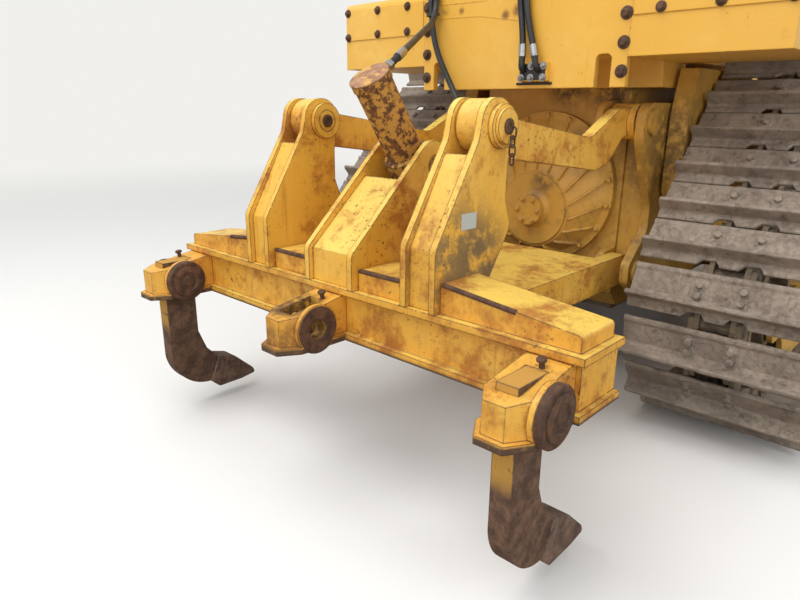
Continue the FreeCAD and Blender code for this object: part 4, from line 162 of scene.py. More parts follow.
# %% Sky and lamps
SKY_COLOUR, SKY_STRENGTH = "#eef1f4", 0.86
LAMPS = (  # name, place, width in metres, watts
    ("sky_lamp", (-5.5, 1.0, 7.5), 6.0, 330),
    ("side_lamp", (-3.0, -8.0, 4.5), 5.0, 165),
    ("rear_lamp", (-9.0, -2.0, 3.2), 5.0, 105),
)
LAMPS_AIM = Vector((-1.5, 0, 0.8))

world = bpy.data.worlds.new("cloudy_sky")
scene.world = world
world.use_nodes = True
tree = world.node_tree
sky = tree.nodes["Background"]
sky.inputs["Color"].default_value = linear(SKY_COLOUR)
sky.inputs["Strength"].default_value = SKY_STRENGTH
backdrop = add(tree, "ShaderNodeBackground", {"Color": PAPER, "Strength": 1.0})
rays = add(tree, "ShaderNodeLightPath").outputs
seen = rays["Is Camera Ray"]
for other in (rays["Is Glossy Ray"], rays["Is Transmission Ray"]):
    seen = add(tree, "ShaderNodeMath", {0: seen, 1: other}, operation="MAXIMUM").outputs[0]
both = add(tree, "ShaderNodeMixShader", {0: seen, 1: sky.outputs[0], 2: backdrop.outputs[0]})
tree.links.new(both.outputs[0], tree.nodes["World Output"].inputs["Surface"])

for name, place, size, power in LAMPS:
    lamp = bpy.data.objects.new(name, bpy.data.lights.new(name, "AREA"))
    lamp.data.shape = "DISK"
    lamp.data.size = size
    lamp.data.energy = power
    lamp.location = place
    lamp.rotation_euler = (LAMPS_AIM - Vector(place)).to_track_quat("-Z", "Y").to_euler()
    scene.collection.objects.link(lamp)
scene.view_settings.view_transform = "Standard"
print("sky and", len(LAMPS), "lamps made")

# %% [markdown]
# ## Finishes
#
# Every finish is worked out from the object's own coordinates, so it needs no picture and stays put
# when a door swings. A real pattern has a real size, so noise is asked for by the millimetres that one
# blotch or grain measures. A finish is built up like paint: a colour is laid over another by an amount,
# and the amount is usually noise, times where dirt or wear would gather.

# %% Noise, arithmetic and layers


def shared(tree, kind, output):
    """An output of the one node of its kind that a whole finish reads places or directions from."""
    return (tree.nodes.get(kind) or add(tree, kind, name=kind)).outputs[output]


def blotches(tree, millimetres, detail=4.0, rough=0.55, seed=0.0, stretch=(1, 1, 1)):
    """Noise whose blotches measure about that many millimetres. stretch squeezes it along each axis."""
    moved = add(tree, "ShaderNodeMapping", {
        "Vector": shared(tree, "ShaderNodeTexCoord", "Object"), "Location": (seed, seed * 1.7, seed * 0.6),
        "Scale": stretch})
    return add(tree, "ShaderNodeTexNoise", {
        "Vector": moved.outputs[0], "Scale": 1000 / millimetres, "Detail": detail,
        "Roughness": rough}).outputs["Fac"]


def between(tree, value, low, high, start=0.0, end=1.0):
    """Turns a value from low to high into one from start to end, and holds it there outside."""
    return add(tree, "ShaderNodeMapRange", {
        "Value": value, "From Min": low, "From Max": high, "To Min": start, "To Max": end},
        interpolation_type="SMOOTHSTEP").outputs["Result"]


def patches(tree, noise, low, high, start=0.0, end=1.0):
    """Blotches brought between two levels. noise holds what blotches() is asked for."""
    return between(tree, blotches(tree, *noise), low, high, start, end)


def fold(tree, operation, first, *others):
    """Works several values into one, each with what came before it."""
    for other in others:
        first = add(tree, "ShaderNodeMath", {0: first, 1: other}, operation=operation).outputs[0]
    return first


def times(tree, *values):
    """All the values multiplied."""
    return fold(tree, "MULTIPLY", *values)


def lay(tree, under, over, *amounts):
    """Lays a colour over another, by the amounts multiplied."""
    return add(tree, "ShaderNodeMix", {0: times(tree, *amounts), 6: under, 7: over},
               data_type="RGBA").outputs[2]


# %% Where on a piece a point lies


def corners(tree, millimetres):
    """How near a point is to an outer edge, 0 to 1, and the normal that rounds that edge off."""
    bevel = add(tree, "ShaderNodeBevel", {"Radius": millimetres / 1000}, samples=6)
    normal = shared(tree, "ShaderNodeNewGeometry", "True Normal")
    same = add(tree, "ShaderNodeVectorMath", {0: bevel.outputs[0], 1: normal}, operation="DOT_PRODUCT")
    return between(tree, same.outputs["Value"], 0.985, 0.80), bevel.outputs[0]


def facing(tree, way):
    """1 on a face that looks that way, "up" or "rear", and 0 on one square to it."""
    axis, low, high = {"up": (2, 0.35, 0.85), "rear": (0, -0.35, -0.85)}[way]
    parts = add(tree, "ShaderNodeSeparateXYZ", {0: shared(tree, "ShaderNodeNewGeometry", "True Normal")})
    return between(tree, parts.outputs[axis], low, high)


def height(tree, full, none):
    """1 at the height full and past it, 0 at the height none, both in millimetres from the ground."""
    parts = add(tree, "ShaderNodeSeparateXYZ", {0: shared(tree, "ShaderNodeTexCoord", "Object")})
    return between(tree, parts.outputs["Z"], none / 1000, full / 1000)


def near(tree, spot, inner, outer):
    """1 within inner millimetres of a drawing place, 0 beyond outer."""
    place = shared(tree, "ShaderNodeTexCoord", "Object")
    away = add(tree, "ShaderNodeVectorMath", {0: place, 1: at(*spot)}, operation="DISTANCE")
    return between(tree, away.outputs["Value"], outer / 1000, inner / 1000)


def finish(tree, out, colour, roughness, relief, depth, normal=None, metallic=0.0):
    """The shader at the end of a finish. relief bumps the surface by depth millimetres."""
    bump = add(tree, "ShaderNodeBump", {"Height": relief, "Distance": depth / 1000, "Strength": 1.0})
    if normal is not None:
        tree.links.new(normal, bump.inputs["Normal"])
    shader = add(tree, "ShaderNodeBsdfPrincipled", {
        "Base Color": colour, "Roughness": roughness, "Normal": bump.outputs[0], "Metallic": metallic})
    tree.links.new(shader.outputs[0], out.inputs[0])


# %% [markdown]
# ## Machine enamel, new and worn
#
# Construction machines are sprayed with a thick alkyd or polyurethane enamel. It fades in patches, it
# holds brown dust on its tops, it chips at every corner down to brown steel, and where it is rubbed
# thin the steel below stains it orange. One recipe serves all the painted plates, with more or less of
# each fault: the tank and the cab are fairly clean, and the ripper has been through the ground.

# %% Enamel
SUNNED, SPECK, BARE, DUST, MUD, SKIRT = "#f0d468", "#6f4423", "#4a3020", "#8d7654", "#6d5c49", "#523b2d"


def enamel(name, fresh, faded, stain=0.3, chips=0.3, dirt=0.3, gloss=0.42, rust="#a8651f", smears_and_shade=(),
           sunned=0.0, skirt=None):
    """smears_and_shade are (place, inner, outer, colour): soft patches round a place, of oil, mud and rust, and
    of painted shade where a part above shades the plate. sunned bleaches the tops. skirt is a height below
    which, and one above which not, the plate has rusted brown."""
    made, tree, out = material(name)
    up = facing(tree, "up")
    colour = lay(tree, fresh, faded, patches(tree, (700, 5), 0.38, 0.64))
    colour = lay(tree, colour, fresh, patches(tree, (60, 8, 0.7, 3.1), 0.62, 0.40, 0.0, 0.55))

    # tops and leaning plates bleach in the sun and the rain keeps them clean
    if sunned:
        colour = lay(tree, colour, SUNNED, up, sunned)

    # orange stain in clouds of a hand's width, finely broken up
    stained = patches(tree, (210, 12, 0.72, 7.7), 0.66 - 0.26 * stain, 0.80 - 0.22 * stain,
                      0.0, min(0.9, 0.35 + stain))
    colour = lay(tree, colour, rust, stained)

    # fine brown specks in crowds all over a worn plate
    speck = patches(tree, (7, 5, 0.6, 4.9), 0.66 - 0.06 * stain, 0.72 - 0.06 * stain, 0.0, 0.75)
    crowd = patches(tree, (95, 6, 0.65, 8.3), 0.42, 0.62)
    colour = lay(tree, colour, SPECK, times(tree, speck, crowd), min(1, 1.4 * stain))

    # drips: the same stain drawn out down the walls
    drip = patches(tree, (45, 6, 0.6, 2.2, (1, 1, 0.09)), 0.60, 0.74, 0.0, 0.55 * min(1, stain + 0.1))
    fine = patches(tree, (15, 6, 0.6, 6.6, (1, 1, 0.07)), 0.56, 0.72, 0.0, 0.7 * stain * stain)
    colour = lay(tree, colour, rust, fold(tree, "MAXIMUM", drip, fine), between(tree, up, 1, 0))

    # chips: small sharp spots in crowds, and a gnawed line along the corners
    spot = patches(tree, (17, 6, 0.62, 9.3), 0.70 - 0.10 * chips, 0.73 - 0.10 * chips)
    spots = times(tree, spot, patches(tree, (320, 4, 0.6, 5.0), 0.40, 0.72))
    edge, rounded = corners(tree, 5 + 5 * chips)
    gnawed = patches(tree, (38, 9, 0.7, 1.3), 0.64 - 0.27 * chips, 0.70 - 0.27 * chips)
    bared = fold(tree, "MAXIMUM", spots, times(tree, edge, gnawed))
    colour = lay(tree, colour, BARE, bared)

    # dust on the tops, mud thrown up from the ground
    dusty = times(tree, up, patches(tree, (130, 10, 0.7, 6.1), 0.40, 0.75))
    colour = lay(tree, colour, DUST, dusty, dirt)
    splash = times(tree, height(tree, 250, 1500), patches(tree, (55, 12, 0.75, 4.4), 0.50, 0.66))
    colour = lay(tree, colour, MUD, splash, min(1.0, 1.3 * dirt))

    # soft patches round places: oil, mud and rust, and on the case painted shade under the fuel tank
    for place, inner, outer, smear_and_shade_colour in smears_and_shade:
        ragged = patches(tree, (60, 10, 0.72, 5.7), 0.34, 0.56)
        amount = times(tree, near(tree, place, inner, outer), ragged, 0.85)
        if sunned:  # the weather has washed the faces that look back
            amount = times(tree, amount, between(tree, facing(tree, "rear"), 0.0, 1.0, 1.0, 0.15))
        colour = lay(tree, colour, smear_and_shade_colour, amount)

    if skirt:
        brown = patches(tree, (28, 10, 0.7, 3.7), 0.30, 0.52, 0.72, 1.0)
        colour = lay(tree, colour, SKIRT, height(tree, *skirt), brown)

    matt = fold(tree, "MAXIMUM", bared, times(tree, stained, 0.7), times(tree, dusty, dirt))
    relief = fold(tree, "SUBTRACT", times(tree, blotches(tree, 9, 3, 0.5, 8.8), 0.12), bared)
    finish(tree, out, colour, between(tree, matt, 0.0, 1.0, gloss, 0.88), relief, 0.9, rounded)
    return made


# %% The enamels of this machine
yellow_enamel = enamel("yellow_enamel", "#e2ac40", "#ecbf61", stain=0.12, chips=0.25, dirt=0.3)
ripper_enamel = enamel("ripper_enamel", "#e0a53a", "#ebbc56", 0.78, 0.95, 0.2, 0.5, sunned=0.6)
beam_enamel = enamel("beam_enamel", "#e0a53a", "#ebbc56", 0.82, 0.95, 0.2, 0.5, sunned=0.6, skirt=(622, 634))
GUARD_RUST = [((-1121, 436, 1981), 5, 34, "#7a4a22"), ((-1121, 330, 1972), 4, 26, "#7a4a22"),
              ((-1121, 60, 1930), 6, 34, "#6f421e"), ((-1121, -6, 1945), 8, 40, "#7a4a22")]
guard_enamel = enamel("guard_enamel", "#e2ac40", "#eabb58", 0.2, 0.3, 0.3, smears_and_shade=GUARD_RUST)
TOWER_MUD = [((-2240, -552, 985), 90, 330, "#7d6844"), ((-2090, -552, 960), 60, 240, "#6d5a3c")]
tower_enamel = enamel("tower_enamel", "#e4ac3c", "#efc660", 0.66, 0.95, 0.15, 0.5, smears_and_shade=TOWER_MUD,
                      sunned=0.6)
POCKET_RUST = [((-2470, 20, 700), 100, 150, "#33261f"), ((-2560, 0, 640), 30, 140, "#5d3d22")]
pocket_enamel = enamel("pocket_enamel", "#dfa33a", "#e9b953", 0.7, 1.0, 0.2, 0.5, smears_and_shade=POCKET_RUST,
                       skirt=(636, 645))
# Smears on the case: the two near-black spots at x -705 are painted shade under the fuel tank, the others are
# oil stains.
OIL_AND_PAINTED_SHADE = [((-905, -50, 1120), 40, 120, "#4a3226"), ((-760, -230, 1290), 40, 170, "#4d3a28"),
       ((-705, -340, 1620), 60, 210, "#1e1711"), ((-705, -80, 1650), 60, 190, "#1e1711"),
       ((-620, -620, 1300), 60, 420, "#5b4425"), ((-620, 620, 1300), 60, 420, "#5b4425")]
case_enamel = enamel("case_enamel", "#c2923a", "#d3a64e", 0.34, 0.4, 0.85, 0.5, smears_and_shade=OIL_AND_PAINTED_SHADE)
black_enamel = enamel("black_enamel", "#1c1b1a", "#2a2826", 0.12, 0.3, 0.45, 0.45, rust="#4a3220")
engine_paint = enamel("engine_paint", "#a98a3c", "#8f7733", stain=0.3, chips=0.3, dirt=0.9, gloss=0.6)
print("enamels made")

# %% [markdown]
# ## Bare steel in the ground: shanks, tips and tracks
#
# Steel that works in the soil is never painted for long. The shanks are forged and rust to a dark
# chocolate brown with yellow left in the lee of the wear. The track shoes are rolled steel under a dry
# grey-brown film of mud, and their grousers are scraped bright along the top.

# %% Rust, mud and worn steel
ORANGE_RUST, RUBBED, OLD_MUD = "#8a4a1e", "#8b857d", "#5a4334"


def rusty(name, dark, light, paint=None, paint_amount=0.0, shine=0.0, sheltered=False, flake_mm=85):
    """paint is what is left of an enamel; sheltered leaves it high up only, on faces that look back or
    up."""
    made, tree, out = material(name)
    colour = lay(tree, dark, light, patches(tree, (46, 12, 0.72), 0.36, 0.68))
    colour = lay(tree, colour, ORANGE_RUST, patches(tree, (13, 6, 0.7, 3.3), 0.60, 0.72, 0, 0.5))
    edge, rounded = corners(tree, 9)
    if paint:
        flakes = patches(tree, (flake_mm, 14, 0.74, 12.5), 0.62 - 0.3 * paint_amount, 0.65 - 0.3 * paint_amount)
        left = times(tree, flakes, between(tree, edge, 0.3, 0.0))
        if sheltered:
            left = times(tree, left, times(tree, facing(tree, "rear"), height(tree, 520, 380)))
            left = fold(tree, "SUBTRACT", left, height(tree, 300, 520))
            top = times(tree, facing(tree, "up"), height(tree, 740, 700), between(tree, edge, 0.6, 0.0))
            left = fold(tree, "MAXIMUM", left, top)
        colour = lay(tree, colour, paint, left)
    bright = times(tree, edge, patches(tree, (60, 8, 0.7, 2.0), 0.45, 0.6, 0.0, shine))
    colour = lay(tree, colour, RUBBED, bright)
    pits = times(tree, blotches(tree, 28, 6, 0.6, 4.0), 1.5)
    grain = fold(tree, "ADD", blotches(tree, 6, 8, 0.7, 1.0), pits)
    finish(tree, out, colour, between(tree, bright, 0, 1, 0.82, 0.4), grain, 1.6, rounded, bright)
    return made


def muddy(name, film, dry, wet, scraped):
    """Steel under a dried film, with wetter patches, scraped bare along its edges."""
    made, tree, out = material(name)
    colour = lay(tree, film, dry, patches(tree, (150, 10, 0.65), 0.36, 0.62))
    colour = lay(tree, colour, wet, patches(tree, (52, 12, 0.75, 2.7), 0.52, 0.68, 0.0, 0.85))
    colour = lay(tree, colour, OLD_MUD, patches(tree, (90, 9, 0.7, 8.1), 0.60, 0.72, 0.0, 0.6))
    edge, rounded = corners(tree, 6)
    rubbed = times(tree, edge, patches(tree, (34, 8, 0.7, 5.2), 0.40, 0.56))
    colour = lay(tree, colour, scraped, rubbed)
    crust = times(tree, patches(tree, (24, 12, 0.74, 6.6), 0.46, 0.70), 2.2)
    relief = fold(tree, "ADD", crust, blotches(tree, 5, 4, 0.6, 7.0))
    roughness = between(tree, rubbed, 0, 1, 0.74, 0.35)
    finish(tree, out, colour, roughness, relief, 1.3, rounded, times(tree, rubbed, 0.8))
    return made


# %% The steels of this machine
shank_steel = rusty("rusted_forged_steel", "#4b362a", "#7a5b45", "#bf8f3e", 0.7, 0.3, sheltered=True)
pin_steel = rusty("rusted_pin_steel", "#3f2a1e", "#6b4932", shine=0.5)
end_scale = rusty("scaled_end_plate", "#8c6247", "#bb9170", "#cfa055", 0.35)
tip_steel = rusty("worn_cast_steel", "#4f3d32", "#826857", shine=0.9)
edge_steel = rusty("worn_edge_steel", "#4d463f", "#7a7168", shine=1.0)
cylinder_flakes = rusty("rusted_barrel_with_flaked_enamel", "#4f301c", "#7d5029", "#bd8a3b", 0.47, 0.1,
                        flake_mm=30)
track_steel = muddy("muddy_track_steel", "#85776a", "#9d8f80", "#5c4e43", "#c4bbae")
under_steel = muddy("muddy_underframe", "#6a5b49", "#80705a", "#4a3f34", "#8d857a")
print("steels made")

# %% [markdown]
# ## Chrome, glass, plastic, vinyl and rubber
#
# The rods are ground and hard-chromed, so they mirror softly. The cab glass is a thin tempered sheet,
# with a slight green tint. The seat is grained vinyl, the console moulded plastic, and the hoses are
# synthetic rubber with a cloth-textured cover. One small patch on a tower is bleached, bare paint.

# %% Smooth finishes


def plain_finish(name, colour, roughness, grain_mm, depth, metallic=0.0, tone=None):
    """A colour that drifts towards a second tone, with a fine grain of some depth, both in millimetres."""
    made, tree, out = material(name)
    shade = lay(tree, colour, tone or colour, patches(tree, (90, 8, 0.65), 0.4, 0.7))
    rough = patches(tree, (40, 6, 0.6, 3.0), 0.3, 0.7, roughness * 0.85, min(1, roughness * 1.2))
    finish(tree, out, shade, rough, blotches(tree, grain_mm, 4, 0.6, 1.0), depth, None, metallic)
    return made


rod_chrome = plain_finish("hard_chrome", "#c9c9c8", 0.16, 60, 0.02, 1.0, "#aaa49a")
zinc_steel = plain_finish("zinc_plated_steel", "#a9abab", 0.36, 12, 0.05, 1.0, "#84827d")
seat_vinyl = plain_finish("grained_seat_vinyl", "#232323", 0.55, 3.5, 0.35, 0.0, "#2d2c2b")
cab_plastic = plain_finish("moulded_abs_plastic", "#2b2c2d", 0.5, 2.5, 0.12, 0.0, "#353637")
hose_rubber = plain_finish("nitrile_hose_rubber", "#17181a", 0.46, 2.0, 0.15, 0.0, "#26262a")
lamp_lens = plain_finish("ribbed_lamp_lens", "#dcdcd6", 0.12, 9, 0.4, 0.0, "#c4c4bd")
bleached_paint = plain_finish("bleached_paint", "#b5bab3", 0.6, 20, 0.1)

window_glass, tree, out = material("tempered_window_glass")
clear = add(tree, "ShaderNodeBsdfTransparent", {"Color": "#dcebe4"})
dust = add(tree, "ShaderNodeBsdfDiffuse", {"Color": "#b5aa98"})
shine = add(tree, "ShaderNodeBsdfGlossy", {"Color": "#ffffff", "Roughness": 0.04})
film = patches(tree, (260, 8, 0.7), 0.45, 0.8, 0.03, 0.16)
veil = add(tree, "ShaderNodeMixShader", {0: film, 1: clear.outputs[0], 2: dust.outputs[0]})
edge_on = add(tree, "ShaderNodeFresnel", {"IOR": 1.5})
pane = add(tree, "ShaderNodeMixShader", {0: edge_on.outputs[0], 1: veil.outputs[0], 2: shine.outputs[0]})
tree.links.new(pane.outputs[0], out.inputs[0])
print("smooth finishes made")

# %% [markdown]
# ## Dress the CAD pieces
#
# Each CAD piece keeps its shape and gets the finish of its slot. A few pieces have had a harder life
# than the rest of their slot, and name their own finish.

# %% Dress the CAD pieces
FINISHES = {  # the finishes of each slot, the slot's own one first
    "yellow_enamel": (yellow_enamel, guard_enamel, case_enamel),
    "ripper_enamel": (ripper_enamel, beam_enamel, bleached_paint),
    "track_steel": (track_steel, under_steel),
    "rusty_steel": (shank_steel, pin_steel, end_scale),
    "edge_steel": (edge_steel,),
    "black_enamel": (black_enamel,),
    "engine_iron": (engine_paint,),
    "rod_chrome": (rod_chrome, zinc_steel),
    "window_glass": (window_glass,),
    "seat_vinyl": (seat_vinyl,),
    "cab_plastic": (cab_plastic,),
    "hose_rubber": (hose_rubber,),
    "lamp_glass": (lamp_lens,),
}
HARDER_LIVES = (
    (tower_enamel, "ripper_towers ripper_pins"),
    (pocket_enamel, "shank_pockets"),
    (beam_enamel, "ripper_beam"),
    (guard_enamel, "tank_guard"),
    (black_enamel, "work_lamps"),
    (case_enamel, "main_case rear_cover final_drives ripper_mount mount_pins frame_rails roller_frames"),
    (under_steel, "pivot_shaft equalizer_bar belly_guard idlers_and_rollers sprockets"),
    (cylinder_flakes, "ripper_cylinder"),
    (pin_steel, "shank_pins"),
    (tip_steel, "shank_tips"),
    (edge_steel, "cutting_edge"),
)
own_finish = {node: each for each, names in HARDER_LIVES for node in names.split()}
for part in frame["record"]["subparts"]:
    mesh = nodes[part["node"]].data
    mesh.materials.clear()
    mesh.materials.append(own_finish.get(part["node"], FINISHES[part["material_slot"]][0]))
print("dressed", len(nodes), "CAD pieces")

# %% [markdown]
# ## Small pieces that repeat
#
# Bolts, shoes, links and pins repeat by the dozen. Each is drawn once, and one Geometry Nodes group puts
# it at every point of a mesh of places: the points carry their own turn, the group turns each piece a
# little further by chance, as no two bolt heads stop at the same angle, and can dent the whole by noise.

# %% The repeating group


def repeat_group():
    tree = bpy.data.node_groups.new("repeat_piece", "GeometryNodeTree")
    for name, kind in (
        ("Geometry", "Geometry"), ("Piece", "Object"), ("Finish", "Material"), ("Chance Turn", "Float"),
        ("Wear Depth", "Float"), ("Wear Size", "Float"), ("Seed", "Int"),
    ):
        tree.interface.new_socket(name, in_out="INPUT", socket_type="NodeSocket" + kind)
    tree.interface.new_socket("Geometry", in_out="OUTPUT", socket_type="NodeSocketGeometry")
    given = add(tree, "NodeGroupInput").outputs

    # each piece in its place, turned by its point and then by chance
    piece = add(tree, "GeometryNodeObjectInfo", {"Object": given["Piece"]})
    turn = add(tree, "GeometryNodeInputNamedAttribute", {"Name": "turn"}, data_type="FLOAT_VECTOR")
    chance = add(tree, "FunctionNodeRandomValue", {3: given["Chance Turn"], "Seed": given["Seed"]},
                 data_type="FLOAT")
    spin = add(tree, "ShaderNodeCombineXYZ", {"Z": chance.outputs[1]})
    turned = add(tree, "FunctionNodeRotateRotation", {
        "Rotation": add(tree, "FunctionNodeEulerToRotation", {0: turn.outputs[0]}).outputs[0],
        "Rotate By": add(tree, "FunctionNodeEulerToRotation", {0: spin.outputs[0]}).outputs[0]},
        rotation_space="LOCAL")
    put = add(tree, "GeometryNodeInstanceOnPoints", {
        "Points": given["Geometry"], "Instance": piece.outputs["Geometry"], "Rotation": turned.outputs[0]})
    real = add(tree, "GeometryNodeRealizeInstances", {"Geometry": put.outputs[0]})

    # wear: the skin moves in or out along its normals
    noise = add(tree, "ShaderNodeTexNoise", {"Scale": given["Wear Size"], "Detail": 3.0})
    dent = times(tree, fold(tree, "SUBTRACT", noise.outputs["Fac"], 0.5), given["Wear Depth"])
    normal = add(tree, "GeometryNodeInputNormal").outputs[0]
    push = add(tree, "ShaderNodeVectorMath", {0: normal, "Scale": dent}, operation="SCALE")
    worn = add(tree, "GeometryNodeSetPosition", {"Geometry": real.outputs[0], "Offset": push.outputs[0]})
    coated = add(tree, "GeometryNodeSetMaterial", {"Geometry": worn.outputs[0], "Material": given["Finish"]})
    add(tree, "NodeGroupOutput", {"Geometry": coated.outputs[0]})
    return tree


REPEAT = repeat_group()
print("repeating group made")

# %% One mesh of a repeated piece


def settled(obj):
    """Takes the modifiers off an object, and gives the plain mesh that they made."""
    made = bpy.data.meshes.new_from_object(obj.evaluated_get(bpy.context.evaluated_depsgraph_get()))
    obj.modifiers.clear()
    return made


def repeat(name, piece, spots, finish_of, chance_turn=0.0, body="root", wear=0.0, wear_mm=60.0, seed=1):
    """One mesh of the same piece at every spot. A spot is (place, its Z direction, its X direction)."""
    mesh = bpy.data.meshes.new(name)
    mesh.from_pydata([spot[0] for spot in spots], [], [])
    turns = mesh.attributes.new("turn", "FLOAT_VECTOR", "POINT")
    for i, (place, up, along) in enumerate(spots):
        up = Vector(up).normalized()
        side = up.cross(Vector(along)).normalized()
        turns.data[i].vector = Matrix((side.cross(up), side, up)).transposed().to_euler()
    obj = bpy.data.objects.new(name, mesh)
    scene.collection.objects.link(obj)
    given = {"Piece": piece, "Finish": finish_of, "Chance Turn": chance_turn, "Wear Depth": wear / 1000,
             "Wear Size": 1000 / wear_mm, "Seed": seed}
    modifier = obj.modifiers.new("repeat", "NODES")
    modifier.node_group = REPEAT
    for item in REPEAT.interface.items_tree:
        if item.in_out == "INPUT" and item.name in given:
            modifier[item.identifier] = given[item.name]
    obj.data = settled(obj)
    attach(obj, body)
    return obj


# %% [markdown]
# ## Skins from rings
#
# Nearly every small piece is a skin drawn over a row of rings: a bolt head, a turned cap, a hose, a weld
# bead. One function joins the rings, another ends the mesh, and a pattern for the repeating group stays
# out of the picture.

# %% Rings, patterns and bolts


def shaped(name, build, smooth=None, pattern=False):
    """An object that a function draws on an empty bmesh. Faces that meet at less than smooth degrees
    shade as one."""
    work = bmesh.new()
    build(work)
    bmesh.ops.recalc_face_normals(work, faces=work.faces)
    mesh = bpy.data.meshes.new(name)
    work.to_mesh(mesh)
    work.free()
    if smooth:
        mesh.shade_smooth()
        mesh.set_sharp_from_angle(angle=math.radians(smooth))
    obj = bpy.data.objects.new(name, mesh)
    if not pattern:
        scene.collection.objects.link(obj)
    return obj


def stack_rings(work, rings, close=True):
    """Joins rings of points, each with the same count, into a skin, with a face over each end."""
    made = [[work.verts.new(point) for point in ring] for ring in rings]
    count = len(made[0])
    for low, high in zip(made, made[1:]):
        for i in range(count):
            work.faces.new((low[i], low[(i + 1) % count], high[(i + 1) % count], high[i]))
    if close:
        work.faces.new(made[0][::-1])
        work.faces.new(made[-1])


def circle(radius, z, count):
    step = 2 * math.pi / count
    return [(radius * math.cos(step * i), radius * math.sin(step * i), z) for i in range(count)]


def hex_bolt(across, tall):
    """A hexagon head with its turned top, on a washer, in metres; it stands along Z."""

    def build(work):
        corner, foot = across / math.sqrt(3), 0.0035
        stack_rings(work, [circle(across * 0.95, -0.002, 14), circle(across * 0.95, foot, 14)])
        stack_rings(work, [circle(corner, foot, 6), circle(corner, foot + tall * 0.82, 6),
                           circle(corner * 0.86, foot + tall, 6)])

    return shaped("hex_bolt_%d" % round(across * 1000), build, pattern=True)


BOLT_30, BOLT_24, BOLT_19 = hex_bolt(0.030, 0.019), hex_bolt(0.024, 0.015), hex_bolt(0.019, 0.012)
print("bolts made")

# %% [markdown]
# ## Tracks
#
# A track is forty-one links on a closed line round the sprocket and the two idlers: straight runs and
# three arcs, stepped off at equal lengths as in the CAD model. Each shoe has one tall grouser, a worn
# round lip at its trailing edge, and two tapered cut-outs in its leading lip that let soil out past the
# rails. Four bolts hold it to a pair of forged links, and the next link's pin and bushing close the chain.

# %% The pins of the chain
GAUGE, SHOE_WIDE, SHOES, FIRST_PIN = 2180, 760, 41, 0.30
LINK_HALF, PLATE = 66, 16
WHEELS = ((0, 1250, 430), (2230, 560, 407), (-670, 560, 407))  # x, z and pitch radius


def chain_pins():
    """The pins' places (x, z), stepped off along arcs and straight runs."""
    legs = []
    for i, (x, z, radius) in enumerate(WHEELS):
        angles = []
        for a, b in ((WHEELS[i - 1], WHEELS[i]), (WHEELS[i], WHEELS[(i + 1) % 3])):
            dx, dz = b[0] - a[0], b[1] - a[1]
            angles.append(math.atan2(dz, dx) + math.acos((a[2] - b[2]) / math.hypot(dx, dz)))
        arrive, leave = angles
        sweep = (arrive - leave) % (2 * math.pi)
        legs.append((sweep * radius, lambda d, x=x, z=z, r=radius, a=arrive: (
            x + r * math.cos(a - d / r), z + r * math.sin(a - d / r))))
        x2, z2, r2 = WHEELS[(i + 1) % 3]
        start = (x + radius * math.cos(leave), z + radius * math.sin(leave))
        end = (x2 + r2 * math.cos(leave), z2 + r2 * math.sin(leave))
        run = math.dist(start, end)
        legs.append((run, lambda d, s=start, e=end, n=run: (
            s[0] + (e[0] - s[0]) * d / n, s[1] + (e[1] - s[1]) * d / n)))
    whole = sum(length for length, spot in legs)
    pins = []
    for i in range(SHOES):
        along = (i + FIRST_PIN) * whole / SHOES
        for length, spot in legs:
            if along <= length:
                break
            along -= length
        pins.append(spot(along))
    return pins


PINS = chain_pins()
PITCH = math.dist(PINS[20], PINS[21])
print("tracks: pitch", round(PITCH, 1))

# %% Shoe and links


def shoe(work):
    """One shoe across the track: X runs from its first pin to the next, Z points out of the track."""
    plate = LINK_HALF + PLATE
    profile = [
        (3, LINK_HALF), (2, plate - 6), (8, plate), (36, plate), (44, plate + 8), (50, plate + 66),
        (54, plate + 71), (66, plate + 71), (70, plate + 66), (74, plate + 10), (86, plate + 1),
        (176, plate), (190, plate + 6), (203, plate + 5), (210, plate - 5), (207, LINK_HALF + 2),
        (190, LINK_HALF), (90, LINK_HALF),
    ]
    half = SHOE_WIDE / 2
    cuts = {}
    for middle in (-86, 86):
        for offset, depth in ((-48, 0), (-46, 4), (-28, 27), (28, 27), (46, 4), (48, 0)):
            cuts[middle + offset] = depth
    plain = [-half, -half + 6, -310, -235, -165, 0, 165, 235, 310, half - 6, half]
    rings = []
    for y in sorted(list(cuts) + plain):
        depth = cuts.get(y, 0)
        end = 0 if abs(y) < half - 1 else 5
        ring = []
        for x, z in profile:
            if x < 30:
                x += depth * (1 - (x - 2) / 60)
            if z > plate + 20:
                z -= end * 2
            ring.append((x / 1000, y / 1000, z / 1000))
        rings.append(ring)
    stack_rings(work, rings)


def link(work):
    """A pair of forged link plates. They overlap the next pair's, inside at one pin and outside at the
    other."""
    outline = [(-46, 0), (-36, -40), (0, -54), (60, -60), (PITCH - 60, -60), (PITCH, -54), (PITCH + 36, -40),
               (PITCH + 46, 0), (PITCH + 36, 44), (PITCH - 30, 66), (30, 66), (-36, 44)]
    foot, top = (PITCH / 2, -60), (PITCH / 2, 66)
    first_half, last_half = outline[:4] + [foot, top] + outline[10:], [foot] + outline[4:10] + [top]
    for side in (-1, 1):
        for part, reach in ((first_half, (62, 84)), (last_half, (85, 107))):
            stack_rings(work, [[(x / 1000, side * y / 1000, z / 1000) for x, z in part] for y in reach])
    for radius, reach in ((24, 112), (36, 62)):  # the pin and its bushing
        stack_rings(work, [[(x, side * reach / 1000, z) for x, z, _ in circle(radius / 1000, 0, 12)]
                           for side in (-1, 1)])


SHOE, LINK = shaped("shoe", shoe, pattern=True), shaped("link_pair", link, pattern=True)
print("shoe", len(SHOE.data.polygons), "faces, links", len(LINK.data.polygons))

